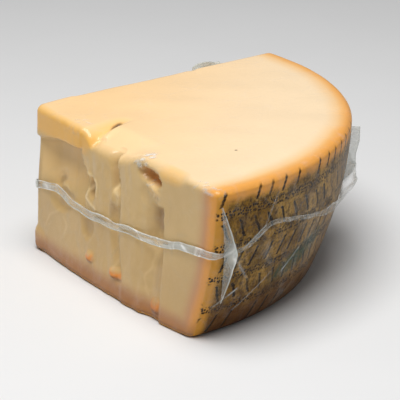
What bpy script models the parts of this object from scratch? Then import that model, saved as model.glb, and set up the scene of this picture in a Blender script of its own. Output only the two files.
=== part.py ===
"""A chunk of hard cheese packed in tight clear film.

The chunk is a sector of the lower half of a wheel. Its top is a flat cut through the wheel's middle,
two broken faces meet at the tip, and the rind covers the arc and the underside. The welded edge of the
film runs round the chunk as a flat band, with a folded flap at each rind corner and a fin that stands
out behind the arc. A small fold of film stands on the back edge of the top.

Units are metres, +Z is up. The tip points to -X, the rind to +X, and the chunk stands on Z = 0.
"""

import math

import bpy
import numpy as np

MM = 0.001

# Driving dimensions
WHEEL_RADIUS = 212.4 * MM  # radius of the wheel's side at its middle
HEIGHT = 101.7 * MM  # half of the wheel's height
HALF_ANGLE = math.radians(48)  # half of the sector's angle
TIP_X = -107.8 * MM  # where the two broken faces would meet
FOOT_SLOPE = 0.435  # how fast the rind draws in towards the foot
FOOT_KNEE = 55.8 * MM  # height where it starts to draw in
FOOT_SOFTNESS = 21.3 * MM
SHOULDER = 0.6 * MM  # how far the rind rolls in below the top
SHOULDER_HEIGHT = 15 * MM
HEEL = 1 * MM  # how far it rolls in above the foot
HEEL_HEIGHT = 9 * MM

# Rounding of the edges
TIP_ROUND = 6 * MM  # of the upright edge between the broken faces
FACE_FADE = 1.5  # how fast a face's relief dies away where the surface turns from it
TIP_SIDES = (10 * MM, 34 * MM)  # distances from the tip between which the tip's rounding ends
CORNER_ROUND = 5.2 * MM  # of the upright edges beside the rind; more than TOP_ROUND
TOP_ROUND = 4 * MM
TOP_ROUND_TIP = 5 * MM
FOOT_ROUND = 2.5 * MM

# Steps of the mesh
FRONT_STEPS = 56
FRONT_SPREAD = ((0, 0.16, 0.82, 1), (0, 0.21, 0.72, 1))  # share of the steps, share of the face
BACK_STEPS = 40
BACK_SPREAD = ((0, 0.72, 1), (0, 0.58, 1))
RIND_STEPS = 26
CORNER_STEPS = 3
TIP_STEPS = 6
UPRIGHT_STEPS = 25
ROUND_STEPS = 2
TOP_RINGS = (0.04, 0.09, 0.16, 0.26, 0.42, 0.68)  # share of the way from the edge to the middle
RING_MIDDLE = 105 * MM  # how far from the tip the rings of the top close

# Hollow under the lip at the tip. On the front its far side wanders down the face
LIP_HEIGHT = 80.9 * MM  # lower edge of the lip at the tip
LIP_RISE = 5.5 * MM
LIP_RISE_END = 40 * MM
LIP_KICK = 8 * MM  # second rise, beside the crack
LIP_KICK_SIDES = (56 * MM, 74 * MM)
LIP_SWELL = 1.4 * MM
LIP_SWELL_SIDES = (-10 * MM, 30 * MM)
RECESS_DEPTH = 7.5 * MM
RECESS_EDGE = (-0.8 * MM, 1.8 * MM)  # over which its walls turn in
RECESS_FADE = (38 * MM, 78 * MM)  # heights over which it grows from nothing
RECESS_TIP_END = 26 * MM
RECESS_AT_TIP = 0.2  # share of the depth where the hollow rounds the tip
RECESS_HEIGHTS = (48 * MM, 56 * MM, 63 * MM, 70 * MM, 74 * MM, 78.5 * MM, 86 * MM, 96 * MM)
FRONT_RECESS_SIDES = (66 * MM, 65 * MM, 67.5 * MM, 69 * MM, 67.5 * MM, 62.5 * MM, 59.5 * MM, 62 * MM)
BACK_RECESS_SIDES = (40 * MM, 38 * MM, 34 * MM, 35 * MM, 37 * MM, 43 * MM, 38 * MM, 32 * MM)

# Hollows and swellings: place along the face, height, half width, half height, depth, lean
FRONT_DENTS = {
    "pocket_beside_ridge": (74 * MM, 64.5 * MM, 4.6 * MM, 7.5 * MM, 4.5 * MM, 0),
    "pocket_under_rim": (141 * MM, 91.5 * MM, 12 * MM, 4.6 * MM, 7 * MM, -0.12),
    "scoop_under_pocket": (141 * MM, 79 * MM, 9 * MM, 7 * MM, 1.8 * MM, 0),
    "mouth_of_crack": (74 * MM, 96.5 * MM, 4.5 * MM, 6 * MM, 3 * MM, 0.3),
    "notch_above_band": (30 * MM, 57.5 * MM, 6 * MM, 6 * MM, 1.8 * MM, 0.5),
    "scoop_under_band": (36 * MM, 45 * MM, 14 * MM, 8 * MM, 2.4 * MM, 0.1),
    "scoop_low_middle": (70 * MM, 38 * MM, 7 * MM, 10 * MM, 2.4 * MM, 0),
}
FRONT_SWELLINGS = {
    "scallop": (103 * MM, 66 * MM, 5.5 * MM, 7 * MM, 3.2 * MM, 0),
    "pillar": (84 * MM, 70 * MM, 9 * MM, 34 * MM, 1.2 * MM, 0),
    "panel": (121 * MM, 58 * MM, 13 * MM, 60 * MM, 1.4 * MM, 0),
    "shelf_under_pocket": (144 * MM, 84.5 * MM, 7 * MM, 2.5 * MM, 1.4 * MM, -0.2),
    "lump_left": (75.7 * MM, 18.8 * MM, 5 * MM, 4 * MM, 2 * MM, 0),
    "lump_middle": (107.5 * MM, 16.9 * MM, 8 * MM, 3.8 * MM, 2.2 * MM, 0),
    "lump_right": (150.6 * MM, 9.3 * MM, 5.5 * MM, 5 * MM, 2 * MM, 0),
    "foot_of_tip": (0, 8 * MM, 16 * MM, 9 * MM, 1.6 * MM, 0),
}
BACK_DENTS = {
    "pocket_low": (74 * MM, 33 * MM, 8 * MM, 6 * MM, 4 * MM, 0.3),
    "pocket_high": (92 * MM, 88 * MM, 9 * MM, 4.5 * MM, 5 * MM, 0.3),
    "scoop_middle": (66 * MM, 65 * MM, 7 * MM, 12 * MM, 2.6 * MM, 0.2),
    "scoop_wide": (160 * MM, 43 * MM, 18 * MM, 24 * MM, 1.4 * MM, 0.2),
    "dent_in_top_edge": (134 * MM, 99.5 * MM, 5 * MM, 4 * MM, 1.6 * MM, 0.3),
}
BACK_SWELLINGS = {
    "rib": (82 * MM, 63 * MM, 7 * MM, 30 * MM, 1.8 * MM, 0.1),
    "lump": (47 * MM, 13 * MM, 4.5 * MM, 3 * MM, 1.5 * MM, 0),
    "foot_of_tip": (0, 8 * MM, 16 * MM, 9 * MM, 1.6 * MM, 0),
}

# Upright channels: middle at the top, lean, sway, half width, depth at the top, depth at the foot,
# low end, high end
FRONT_CHANNELS = {
    "left": (97.6 * MM, 0.14, 1.5 * MM, 5.2 * MM, 4.2 * MM, 2.4 * MM, 13 * MM, 95 * MM),
}
BACK_CHANNELS = {
    "near_tip": (52 * MM, 0, 2 * MM, 5 * MM, 3.2 * MM, 1.8 * MM, 11 * MM, 96 * MM),
}
CHANNEL_SWAY = 9 * MM  # height over which a channel sways by one radian
CHANNEL_STEEP = (0.55, 1.0)  # its wall towards the rind, in half widths
CHANNEL_SLOPING = (0.2, 1.3)  # its wall towards the tip
CHANNEL_END = 4 * MM

# Sunk strip that ends at a sharp upright step, where the broken part meets a flat panel:
# left side, right side, top, depth above, depth at the foot
FRONT_CLEFT = (139 * MM, 156 * MM, 74.5 * MM, 6 * MM, 2.6 * MM)
BACK_CLEFT = (98 * MM, 117 * MM, 74 * MM, 4.2 * MM, 2 * MM)
CLEFT_SLOPE = (-4 * MM, 7 * MM)  # its wall towards the tip
CLEFT_STEP = 1.2 * MM  # half of the step's thickness
CLEFT_TOP = (-3 * MM, 2 * MM)
CLEFT_DEEPENS = (30 * MM, 52 * MM)  # heights between the depth at the foot and the depth above
CALM_PANEL = 0.7  # share of the waviness that the flat panels lack
CALM_EDGE = 6 * MM

# Crack across the top, measured along the front face and inwards from it
CRACK_START = (72 * MM, 0)
CRACK_END = (62 * MM, 37 * MM)
CRACK_DEPTH = 5.5 * MM  # at the face; it grows shallow inwards
CRACK_WIDTH = 11 * MM  # of its sloping side towards the tip
CRACK_STEEP = 4.5 * MM  # of its steeper side towards the rind
CRACK_EYE = (65.8 * MM, 23 * MM)
CRACK_EYE_DEPTH = 2.5 * MM
CRACK_EYE_ROUND = 2.6 * MM
CRACK_EYE_LONG = 2.2  # its length over its width
CRACK_EYE_LEAN = 0.5

# Front edge of the top beside the crack, which rolls down to the broken face
ROLL_DEPTH = 8.5 * MM
ROLL_WIDTH = 24 * MM  # how far inwards it starts
ROLL_START = (66 * MM, 78 * MM)  # along the face
ROLL_END = (104 * MM, 134 * MM)
ROLL_ROUND = 6.5 * MM

# Stretch of the front's top edge that is broken away to a slanting edge, up to a sharp notch
CHIP_START = (128 * MM, 146 * MM)
CHIP_END = (170 * MM, 182 * MM)
CHIP_ROUND = 8 * MM

# How far the broken front spreads towards its foot, and between which places along it
SPREAD = 5.5 * MM
SPREAD_START = (-8 * MM, 75 * MM)
SPREAD_END = (140 * MM, 205 * MM)

# Slow waviness of the broken faces and of the top
WAVE_FACE = 0.35 * MM
WAVE_TOP = 0.25 * MM
SLOW_WAVE = (17 * MM, 21 * MM, 1.3, 0.6)  # length, length of its bend, bend, share
FAST_WAVE = (9 * MM, 13 * MM, 2.1, 0.4)

# Welded band of the film. Its course: way round the chunk from the tip, height of its lower edge
ARC = 2 * HALF_ANGLE * WHEEL_RADIUS
ROUND_TRIP = 2 * WHEEL_RADIUS + ARC
BAND_COURSE = (
    (0, 43.3 * MM),
    (18 * MM, 46.8 * MM),
    (32 * MM, 48 * MM),
    (49 * MM, 45 * MM),
    (69 * MM, 44.4 * MM),
    (92 * MM, 45 * MM),
    (110 * MM, 46.5 * MM),
    (130 * MM, 48.9 * MM),
    (145 * MM, 48.8 * MM),
    (167 * MM, 51.8 * MM),
    (187 * MM, 56 * MM),
    (WHEEL_RADIUS + 0.02 * ARC, 58.5 * MM),
    (WHEEL_RADIUS + 0.083 * ARC, 60.5 * MM),
    (WHEEL_RADIUS + 0.127 * ARC, 69 * MM),
    (WHEEL_RADIUS + 0.19 * ARC, 67.5 * MM),
    (WHEEL_RADIUS + 0.256 * ARC, 62.5 * MM),
    (WHEEL_RADIUS + 0.43 * ARC, 49.5 * MM),
    (WHEEL_RADIUS + 0.58 * ARC, 46 * MM),
    (WHEEL_RADIUS + 0.76 * ARC, 47.5 * MM),
    (WHEEL_RADIUS + 0.94 * ARC, 53.5 * MM),
    (WHEEL_RADIUS + ARC + 40 * MM, 52.5 * MM),
    (WHEEL_RADIUS + ARC + 110 * MM, 46.5 * MM),
    (WHEEL_RADIUS + ARC + 170 * MM, 48.5 * MM),
)
# Its width, and how far it leans out from the surface, at places round the arc
BAND_WIDTH = 5.5 * MM
BAND_WIDTH_RIND = 3 * MM
BAND_WIDTH_LOOSE = 14.5 * MM
BAND_THICKNESS = 1 * MM
BAND_LEAN = math.radians(33)
BAND_CRINKLE = 0.5 * MM
BAND_CRINKLE_LENGTH = 5.5 * MM
BAND_TURN = 10 * MM  # over which its width changes at a rind corner
BAND_REACH = 5 * MM  # how far above and below itself it spans hollows
BAND_SPAN = 3  # columns each side over which it spans them
LOOSE_START = 0.27  # share of the arc
LOOSE_FULL = 0.52
LOOSE_HOLD = 0.66
LOOSE_END = 0.80
FILM_GAP = 0.6 * MM  # between the chunk and the film's folds

# Folded flap at each rind corner: distances along the arc from the corner, and heights
FLAP_TOP = (4.3 * MM, 92 * MM)
FLAP_TIP = (18 * MM, 58.5 * MM)
FLAP_FOOT = (15.5 * MM, 23.5 * MM)
FLAP_WIDTH = 9.5 * MM  # at its tip
FLAP_LIFT = 3 * MM
FLAP_LEAST = 1 * MM  # its width at both ends
FLAP_CURL = 1.2  # share of its width over which it rises off the rind
FLAP_THICKNESS = 0.8 * MM
FLAP_ROWS = 14
FLAP_ACROSS = 3

# Fin: an upright strip of film behind the arc
FIN_PLACE = 0.6  # share of the arc
FIN_OUTLINE = (
    (1.9 * MM, 46.5 * MM),
    (7.9 * MM, 54.5 * MM),
    (8.6 * MM, 60 * MM),
    (7.4 * MM, 67 * MM),
    (8.2 * MM, 76 * MM),
    (7.2 * MM, 86.5 * MM),
)
FIN_THICKNESS = 0.8 * MM
FIN_WAVE = 1.2 * MM
FIN_WAVE_LENGTH = 9 * MM

# Small fold on the back edge of the top
TAB_START = 139 * MM
TAB_END = 165 * MM
TAB_HEIGHT = 5 * MM
TAB_LOW_SHARE = 0.55  # share of the height that its ends have
TAB_PEAK = 0.42  # where along it the fold is highest
TAB_FOOT = 3 * MM  # how far below the top it starts
TAB_GAP = 1.1 * MM
TAB_LEAN = 0.15
TAB_RIPPLE = 0.4 * MM
TAB_RIPPLE_TURN = 9  # radians of the ripple along the fold
TAB_THICKNESS = 0.8 * MM
TAB_STEPS = 8

COLOURS = {
    "cheese": ((0.60, 0.40, 0.19), 0.32),
    "film": ((0.62, 0.60, 0.55), 0.22),
}


def clear_scene():
    for thing in list(bpy.data.objects):
        bpy.data.objects.remove(thing, do_unlink=True)


def ease(x, low, high):
    """Smooth rise from 0 at low to 1 at high."""
    t = np.clip((np.asarray(x, float) - low) / (high - low), 0, 1)
    return t * t * (3 - 2 * t)


def between(x, low, high, soft):
    """1 between low and high, with a soft edge each side."""
    return ease(x, low - soft, low + soft) * (1 - ease(x, high - soft, high + soft))


def spot(s, z, place, height, half_width, half_height, lean):
    """1 inside a leaning ellipse, easing to 0 at its edge."""
    across = (s - place) / half_width
    up = (z - height - lean * (s - place)) / half_height
    return 1 - ease(across * across + up * up, 0.1, 1.35)


def channels(s, z, grooves):
    depth = np.zeros_like(s)
    for middle, lean, sway, half_width, top_depth, foot_depth, low, high in grooves.values():
        line = middle + lean * (HEIGHT - z) + sway * np.sin(z / CHANNEL_SWAY)
        across = (s - line) / half_width
        steep, sloping = 1 - ease(across, *CHANNEL_STEEP), 1 - ease(-across, *CHANNEL_SLOPING)
        profile = np.where(across > 0, steep, sloping)
        reach = between(z, low, high, CHANNEL_END)
        depth += profile * reach * (foot_depth + (top_depth - foot_depth) * ease(z, low, high))
    return depth


def dents(s, z, hollows, swellings):
    depth = np.zeros_like(s)
    for place, height, half_width, half_height, deep, lean in hollows.values():
        depth += deep * spot(s, z, place, height, half_width, half_height, lean)
    for place, height, half_width, half_height, high, lean in swellings.values():
        depth -= high * spot(s, z, place, height, half_width, half_height, lean)
    return depth


def waves(a, b, size):
    total = 0
    for along, across, (length, bend_length, bend, share) in ((a, b, SLOW_WAVE), (b, a, FAST_WAVE)):
        total = total + share * np.sin(along / length + bend * np.sin(across / bend_length))
    return size * total


def recess(s, z, sides):
    """Depth of the large hollow under the lip, less the swelling of the lip itself."""
    lip = LIP_HEIGHT + LIP_RISE * ease(s, 0, LIP_RISE_END) + LIP_KICK * ease(s, *LIP_KICK_SIDES)
    inside = ease(np.interp(z, RECESS_HEIGHTS, sides) - s, *RECESS_EDGE)
    under_lip = ease(lip - z, *RECESS_EDGE)
    fade_tip = RECESS_AT_TIP + (1 - RECESS_AT_TIP) * ease(s, 0, RECESS_TIP_END)
    swell = LIP_SWELL * inside * (1 - under_lip) * ease(s, *LIP_SWELL_SIDES)
    return RECESS_DEPTH * under_lip * inside * ease(z, *RECESS_FADE) * fade_tip - swell


def cleft(s, z, left, right, top, depth, foot_depth):
    across = ease(s - left, *CLEFT_SLOPE) * (1 - ease(s - right, -CLEFT_STEP, CLEFT_STEP))
    down = 1 - ease(z - top, *CLEFT_TOP)
    return across * down * (foot_depth + (depth - foot_depth) * ease(z, *CLEFT_DEEPENS))


def face_relief(s, z, sides, strip, grooves, hollows, swellings):
    """How far a broken face stands out, at a distance s from the tip and a height z."""
    depth = recess(s, z, sides) + cleft(s, z, *strip) + channels(s, z, grooves)
    depth += dents(s, z, hollows, swellings)
    calm = 1 - CALM_PANEL * ease(s, strip[1], strip[1] + CALM_EDGE)
    return waves(s, z, WAVE_FACE) * calm - depth


def spread(s, z):
    """How far the front spreads towards its foot."""
    along = ease(s, *SPREAD_START) * (1 - ease(s, *SPREAD_END))
    return SPREAD * along * np.clip(1 - z / HEIGHT, 0, 1) ** 2


def front_relief(s, z):
    broken = face_relief(
        s, z, FRONT_RECESS_SIDES, FRONT_CLEFT, FRONT_CHANNELS, FRONT_DENTS, FRONT_SWELLINGS
    )
    return broken + spread(s, z)


def back_relief(s, z):
    return face_relief(s, z, BACK_RECESS_SIDES, BACK_CLEFT, BACK_CHANNELS, BACK_DENTS, BACK_SWELLINGS)


def roll_along(along):
    """Where the front edge of the top rolls down: 1 in the middle of that stretch."""
    return ease(along, *ROLL_START) * (1 - ease(along, *ROLL_END))


def top_rounding(along, inwards, tip):
    """How far the edge of the top is rounded, at a place along the front and inwards from it."""
    near_front = 1 - ease(inwards, 0, ROLL_WIDTH)
    chipped = ease(along, *CHIP_START) * (1 - ease(along, *CHIP_END))
    more = (ROLL_ROUND - TOP_ROUND) * roll_along(along) + (CHIP_ROUND - TOP_ROUND) * chipped
    return TOP_ROUND + (TOP_ROUND_TIP - TOP_ROUND) * tip + more * near_front


def top_relief(along, inwards):
    """Height of the cut top, with its rolled edge and the crack that runs in from the front face."""
    ax, ay = CRACK_START
    bx, by = CRACK_END
    length = math.hypot(bx - ax, by - ay)
    ux, uy = (bx - ax) / length, (by - ay) / length
    run = (along - ax) * ux + (inwards - ay) * uy
    off = (along - ax) * uy - (inwards - ay) * ux  # positive on the rind side
    profile = np.where(off > 0, 1 - ease(off, 0, CRACK_STEEP), 1 - ease(-off, 0, CRACK_WIDTH))
    depth = CRACK_DEPTH * profile * np.clip(1 - run / length, 0, 1)
    across = (along - CRACK_EYE[0]) + (inwards - CRACK_EYE[1]) * CRACK_EYE_LEAN
    eye = np.hypot(across, (inwards - CRACK_EYE[1]) / CRACK_EYE_LONG)
    depth += CRACK_EYE_DEPTH * (1 - ease(eye, 0, CRACK_EYE_ROUND))
    depth += ROLL_DEPTH * roll_along(along) * (1 - ease(inwards, 0, ROLL_WIDTH))
    return waves(along, inwards, WAVE_TOP) - depth


def rind_radius(z):
    """The wheel's side: nearly upright at its middle, drawn in at the foot."""
    below = (FOOT_KNEE - np.asarray(z, float)) / FOOT_SOFTNESS
    shoulder = SHOULDER * np.clip((z - HEIGHT + SHOULDER_HEIGHT) / SHOULDER_HEIGHT, 0, 1) ** 2
    heel = HEEL * np.clip(1 - z / HEEL_HEIGHT, 0, 1) ** 2
    return WHEEL_RADIUS - FOOT_SLOPE * FOOT_SOFTNESS * np.logaddexp(0, below) - shoulder - heel


def unit(angle):
    return np.stack([np.cos(angle), np.sin(angle)], axis=-1)


FRONT_ALONG = unit(-HALF_ANGLE)
FRONT_OUT = unit(-HALF_ANGLE - math.pi / 2)
BACK_ALONG = unit(HALF_ANGLE)
BACK_OUT = unit(HALF_ANGLE + math.pi / 2)


def plan(radius):
    """Outline of the sector at one height: points, outward normals and the way round, from the tip."""
    corner_x = math.sqrt((radius - CORNER_ROUND) ** 2 - CORNER_ROUND**2)
    corner_turn = math.atan2(CORNER_ROUND, corner_x)
    tip_run = TIP_ROUND / math.tan(HALF_ANGLE)
    points, normals, way = [], [], []

    def straight(steps, spread, along, out, from_end):
        share = np.interp(np.linspace(0, 1, steps + 1), *spread)
        run = tip_run + (corner_x - tip_run) * share
        if from_end:
            run = run[::-1]
        points.append(run[:, None] * along)
        normals.append(np.tile(out, (steps + 1, 1)))
        share = run / radius * WHEEL_RADIUS
        way.append(ROUND_TRIP - share if from_end else share)

    def corner(centre, start, end, way_start, way_end):
        share = np.arange(1, CORNER_STEPS) / CORNER_STEPS
        out = unit(start + (end - start) * share)
        points.append(centre + CORNER_ROUND * out)
        normals.append(out)
        way.append(way_start + (way_end - way_start) * share)

    reach = HALF_ANGLE - corner_turn
    upright_way = corner_x / radius * WHEEL_RADIUS
    arc_way = WHEEL_RADIUS * (1 + corner_turn)
    straight(FRONT_STEPS, FRONT_SPREAD, FRONT_ALONG, FRONT_OUT, False)
    front_centre = corner_x * FRONT_ALONG - CORNER_ROUND * FRONT_OUT
    corner(front_centre, -HALF_ANGLE - math.pi / 2, -reach, upright_way, arc_way)
    angle = np.linspace(-reach, reach, RIND_STEPS + 1)
    points.append(radius * unit(angle))
    normals.append(unit(angle))
    way.append(WHEEL_RADIUS * (1 + HALF_ANGLE + angle))
    back_centre = corner_x * BACK_ALONG - CORNER_ROUND * BACK_OUT
    corner(back_centre, reach, HALF_ANGLE + math.pi / 2, ROUND_TRIP - arc_way, ROUND_TRIP - upright_way)
    straight(BACK_STEPS, BACK_SPREAD, BACK_ALONG, BACK_OUT, True)
    share = np.arange(1, TIP_STEPS) / TIP_STEPS
    turn = HALF_ANGLE + math.pi / 2 + (math.pi - 2 * HALF_ANGLE) * share
    tip_centre = np.array([TIP_ROUND / math.sin(HALF_ANGLE), 0])
    points.append(tip_centre + TIP_ROUND * unit(turn))
    normals.append(unit(turn))
    way.append(ROUND_TRIP + tip_run * (2 * share - 1))
    return np.concatenate(points), np.concatenate(normals), np.concatenate(way)


def tip_share(points):
    return 1 - ease(np.linalg.norm(points, axis=1), *TIP_SIDES)


def side_relief(points, normals, z):
    """How far the surface stands out of the plain sector, along the normals."""
    front = front_relief(points @ FRONT_ALONG, z) * np.clip(normals @ FRONT_OUT, 0, 1) ** FACE_FADE
    back = back_relief(points @ BACK_ALONG, z) * np.clip(normals @ BACK_OUT, 0, 1) ** FACE_FADE
    return front + back


def side_ring(z, inset):
    """One ring of the surface: a height and an inset for each column, before the rings of the top."""
    points, normals, _ = plan(WHEEL_RADIUS)
    ring = np.empty((len(points), 3))
    for column, (height, draw_in) in enumerate(zip(z, inset)):
        base, out = PLANS.at(height)
        place, normal = base[column], out[column]
        relief = side_relief(place[None], normal[None], np.array([height]))[0]
        ring[column, :2] = place + normal * (relief - draw_in)
        ring[column, 2] = height
    return ring


class Plans:
    """Outlines at each height asked for, worked out once."""

    def __init__(self):
        self.known = {}

    def at(self, z):
        key = round(float(z), 7)
        if key not in self.known:
            points, normals, _ = plan(float(rind_radius(z)))
            self.known[key] = (points, normals)
        return self.known[key]


PLANS = Plans()


def top_edges():
    """For each column, how far the edge of the top is rounded and how high it lies."""
    points, normals, _ = plan(WHEEL_RADIUS)
    along, inwards = points @ FRONT_ALONG, -(points @ FRONT_OUT)
    rounded = top_rounding(along, inwards, tip_share(points))
    rim = points - normals * rounded[:, None]
    return rounded, HEIGHT + top_relief(rim @ FRONT_ALONG, -(rim @ FRONT_OUT))


def chunk_rings():
    """Rings of the chunk from the middle of the foot to the middle of the top."""
    rounded, top = top_edges()
    foot = np.full_like(top, FOOT_ROUND)
    rings = []
    for step in range(ROUND_STEPS + 1):
        turn = step / ROUND_STEPS * math.pi / 2
        rings.append(side_ring(foot * (1 - math.cos(turn)), foot * (1 - math.sin(turn))))
    for step in range(1, UPRIGHT_STEPS + 1):
        share = step / UPRIGHT_STEPS
        rings.append(side_ring(foot + (top - rounded - foot) * share, np.zeros_like(top)))
    for step in range(1, ROUND_STEPS + 1):
        turn = step / ROUND_STEPS * math.pi / 2
        rings.append(side_ring(top - rounded * (1 - math.sin(turn)), rounded * (1 - math.cos(turn))))
    middle = np.array([RING_MIDDLE, 0, 0])
    lid = [rings[-1] + (middle - rings[-1]) * share for share in (*TOP_RINGS, 1)]
    for ring in lid:
        along, inwards = ring[:, :2] @ FRONT_ALONG, -(ring[:, :2] @ FRONT_OUT)
        ring[:, 2] = HEIGHT + top_relief(along, inwards)
    return rings + lid[:-1], middle, lid[-1][0]


def mesh_object(name, points, faces, colour):
    mesh = bpy.data.meshes.new(name)
    mesh.from_pydata([tuple(map(float, point)) for point in points], [], faces)
    mesh.validate()
    mesh.shade_smooth()
    mesh.set_sharp_from_angle(angle=math.radians(40))
    mesh.materials.append(material(colour))
    thing = bpy.data.objects.new(name, mesh)
    bpy.context.scene.collection.objects.link(thing)
    thing.location.x = TIP_X
    return thing


def material(name):
    if name in bpy.data.materials:
        return bpy.data.materials[name]
    made = bpy.data.materials.new(name)
    made.use_nodes = True
    shader = made.node_tree.nodes["Principled BSDF"]
    colour, roughness = COLOURS[name]
    shader.inputs["Base Color"].default_value = (*colour, 1)
    shader.inputs["Roughness"].default_value = roughness
    shader.inputs["Metallic"].default_value = 0
    return made


def cheese_chunk():
    rings, foot_middle, top_middle = chunk_rings()
    columns = len(rings[0])
    points = np.concatenate(rings + [foot_middle[None], top_middle[None]])
    faces = []
    for row in range(len(rings) - 1):
        for column in range(columns):
            after = (column + 1) % columns
            low, high = row * columns, (row + 1) * columns
            faces.append((low + column, low + after, high + after, high + column))
    first, last = len(points) - 2, (len(rings) - 1) * columns
    for column in range(columns):
        after = (column + 1) % columns
        faces.append((first, after, column))
        faces.append((first + 1, last + column, last + after))
    return mesh_object("cheese_chunk", points, faces, "cheese")


def course(way):
    """Height of the band's lower edge on a smooth closed curve through its course."""
    knots = np.array([knot[0] for knot in BAND_COURSE])
    heights = np.array([knot[1] for knot in BAND_COURSE])
    x = np.concatenate([knots[-2:] - ROUND_TRIP, knots, knots[:2] + ROUND_TRIP])
    y = np.concatenate([heights[-2:], heights, heights[:2]])
    slope = np.gradient(y, x)
    at = np.mod(way, ROUND_TRIP)
    i = np.clip(np.searchsorted(x, at, side="right") - 1, 0, len(x) - 2)
    span = x[i + 1] - x[i]
    t = (at - x[i]) / span
    start = (1 + 2 * t) * (1 - t) ** 2 * y[i] + t * (1 - t) ** 2 * span * slope[i]
    end = t * t * (3 - 2 * t) * y[i + 1] + t * t * (t - 1) * span * slope[i + 1]
    return start + end


def loose(way):
    """1 where the band stands off the rind, 0 where it lies flat."""
    share = (way - WHEEL_RADIUS) / ARC
    return ease(share, LOOSE_START, LOOSE_FULL) * (1 - ease(share, LOOSE_HOLD, LOOSE_END))


def bridged(low, high):
    """Surface height under the band for each column, with hollows bridged as taut film does."""
    points, normals, _ = plan(WHEEL_RADIUS)
    most = np.full(len(points), -1.0)
    for share in np.linspace(0, 1, 9):
        z = low - BAND_REACH + (high - low + 2 * BAND_REACH) * share
        most = np.maximum(most, side_relief(points, normals, z))
    shifts = range(-BAND_SPAN, BAND_SPAN + 1)
    widest = np.max([np.roll(most, shift) for shift in shifts], axis=0)
    return np.mean([np.roll(widest, shift) for shift in shifts], axis=0)


def film_band():
    _, _, way = plan(WHEEL_RADIUS)
    low = course(way)
    on_rind = ease(way, WHEEL_RADIUS, WHEEL_RADIUS + BAND_TURN)
    on_rind *= 1 - ease(way, WHEEL_RADIUS + ARC - BAND_TURN, WHEEL_RADIUS + ARC)
    free = loose(way)
    width = BAND_WIDTH + (BAND_WIDTH_RIND - BAND_WIDTH) * on_rind
    width = width + (BAND_WIDTH_LOOSE - BAND_WIDTH_RIND) * free
    width = width + BAND_CRINKLE * np.sin(way / BAND_CRINKLE_LENGTH) * (1 - free)
    lean = BAND_LEAN * free
    base = bridged(low, low + width) + FILM_GAP
    corners = ((0, 0), (0, 1), (1, 1), (1, 0))
    rings = []
    for up, outer in corners:
        z = low + up * width * np.cos(lean) - outer * BAND_THICKNESS * np.sin(lean)
        out = base + up * width * np.sin(lean) + outer * BAND_THICKNESS * np.cos(lean)
        ring = np.empty((len(way), 3))
        for column, height in enumerate(z):
            points, normals = PLANS.at(height)
            ring[column, :2] = points[column] + normals[column] * out[column]
            ring[column, 2] = height
        rings.append(ring)
    columns = len(way)
    faces = []
    for edge in range(4):
        here, there = edge * columns, (edge + 1) % 4 * columns
        for column in range(columns):
            after = (column + 1) % columns
            faces.append((here + column, there + column, there + after, here + after))
    return mesh_object("film_seam", np.concatenate(rings), faces, "film")


def slab(name, inner, outer, colour):
    """Closed solid between two grids of points of the same size."""
    rows, columns, _ = inner.shape
    points = np.concatenate([inner.reshape(-1, 3), outer.reshape(-1, 3)])
    second = rows * columns
    faces = []
    for r in range(rows - 1):
        for c in range(columns - 1):
            a, b = r * columns + c, r * columns + c + 1
            d, e = a + columns, b + columns
            faces.append((a, d, e, b))
            faces.append((second + a, second + b, second + e, second + d))
    border = [(0, c) for c in range(columns - 1)]
    border += [(r, columns - 1) for r in range(rows - 1)]
    border += [(rows - 1, c) for c in range(columns - 1, 0, -1)]
    border += [(r, 0) for r in range(rows - 1, 0, -1)]
    for here, after in zip(border, border[1:] + border[:1]):
        a, b = here[0] * columns + here[1], after[0] * columns + after[1]
        faces.append((a, b, second + b, second + a))
    return mesh_object(name, points, faces, colour)


def on_arc(share_angle, z, out):
    """Point over the rind at an angle from the middle of the arc."""
    flat = unit(share_angle) * (rind_radius(z) + out)
    return np.array([flat[0], flat[1], z])


def corner_flap(name, side):
    """Folded flap over the rind beside a broken face; side is -1 at the front and 1 at the back."""
    inner = np.empty((FLAP_ROWS + 1, FLAP_ACROSS + 1, 3))
    outer = np.empty_like(inner)
    for row in range(FLAP_ROWS + 1):
        z = FLAP_FOOT[1] + (FLAP_TOP[1] - FLAP_FOOT[1]) * row / FLAP_ROWS
        inside = np.interp(z, (FLAP_FOOT[1], FLAP_TOP[1]), (FLAP_FOOT[0], FLAP_TOP[0]))
        heights = (FLAP_FOOT[1], FLAP_TIP[1], FLAP_TOP[1])
        edge = np.interp(z, heights, (FLAP_FOOT[0], FLAP_TIP[0], FLAP_TOP[0])) + FLAP_LEAST
        reach = (edge - inside) / FLAP_WIDTH
        for step in range(FLAP_ACROSS + 1):
            share = step / FLAP_ACROSS
            run = inside + (edge - inside) * share
            angle = side * (HALF_ANGLE - run / WHEEL_RADIUS)
            lift = FILM_GAP + FLAP_LIFT * reach * ease(share, 0, FLAP_CURL)
            inner[row, step] = on_arc(angle, z, lift)
            outer[row, step] = on_arc(angle, z, lift + FLAP_THICKNESS)
    if side < 0:
        return slab(name, inner, outer, "film")
    return slab(name, inner[:, ::-1], outer[:, ::-1], "film")


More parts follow.
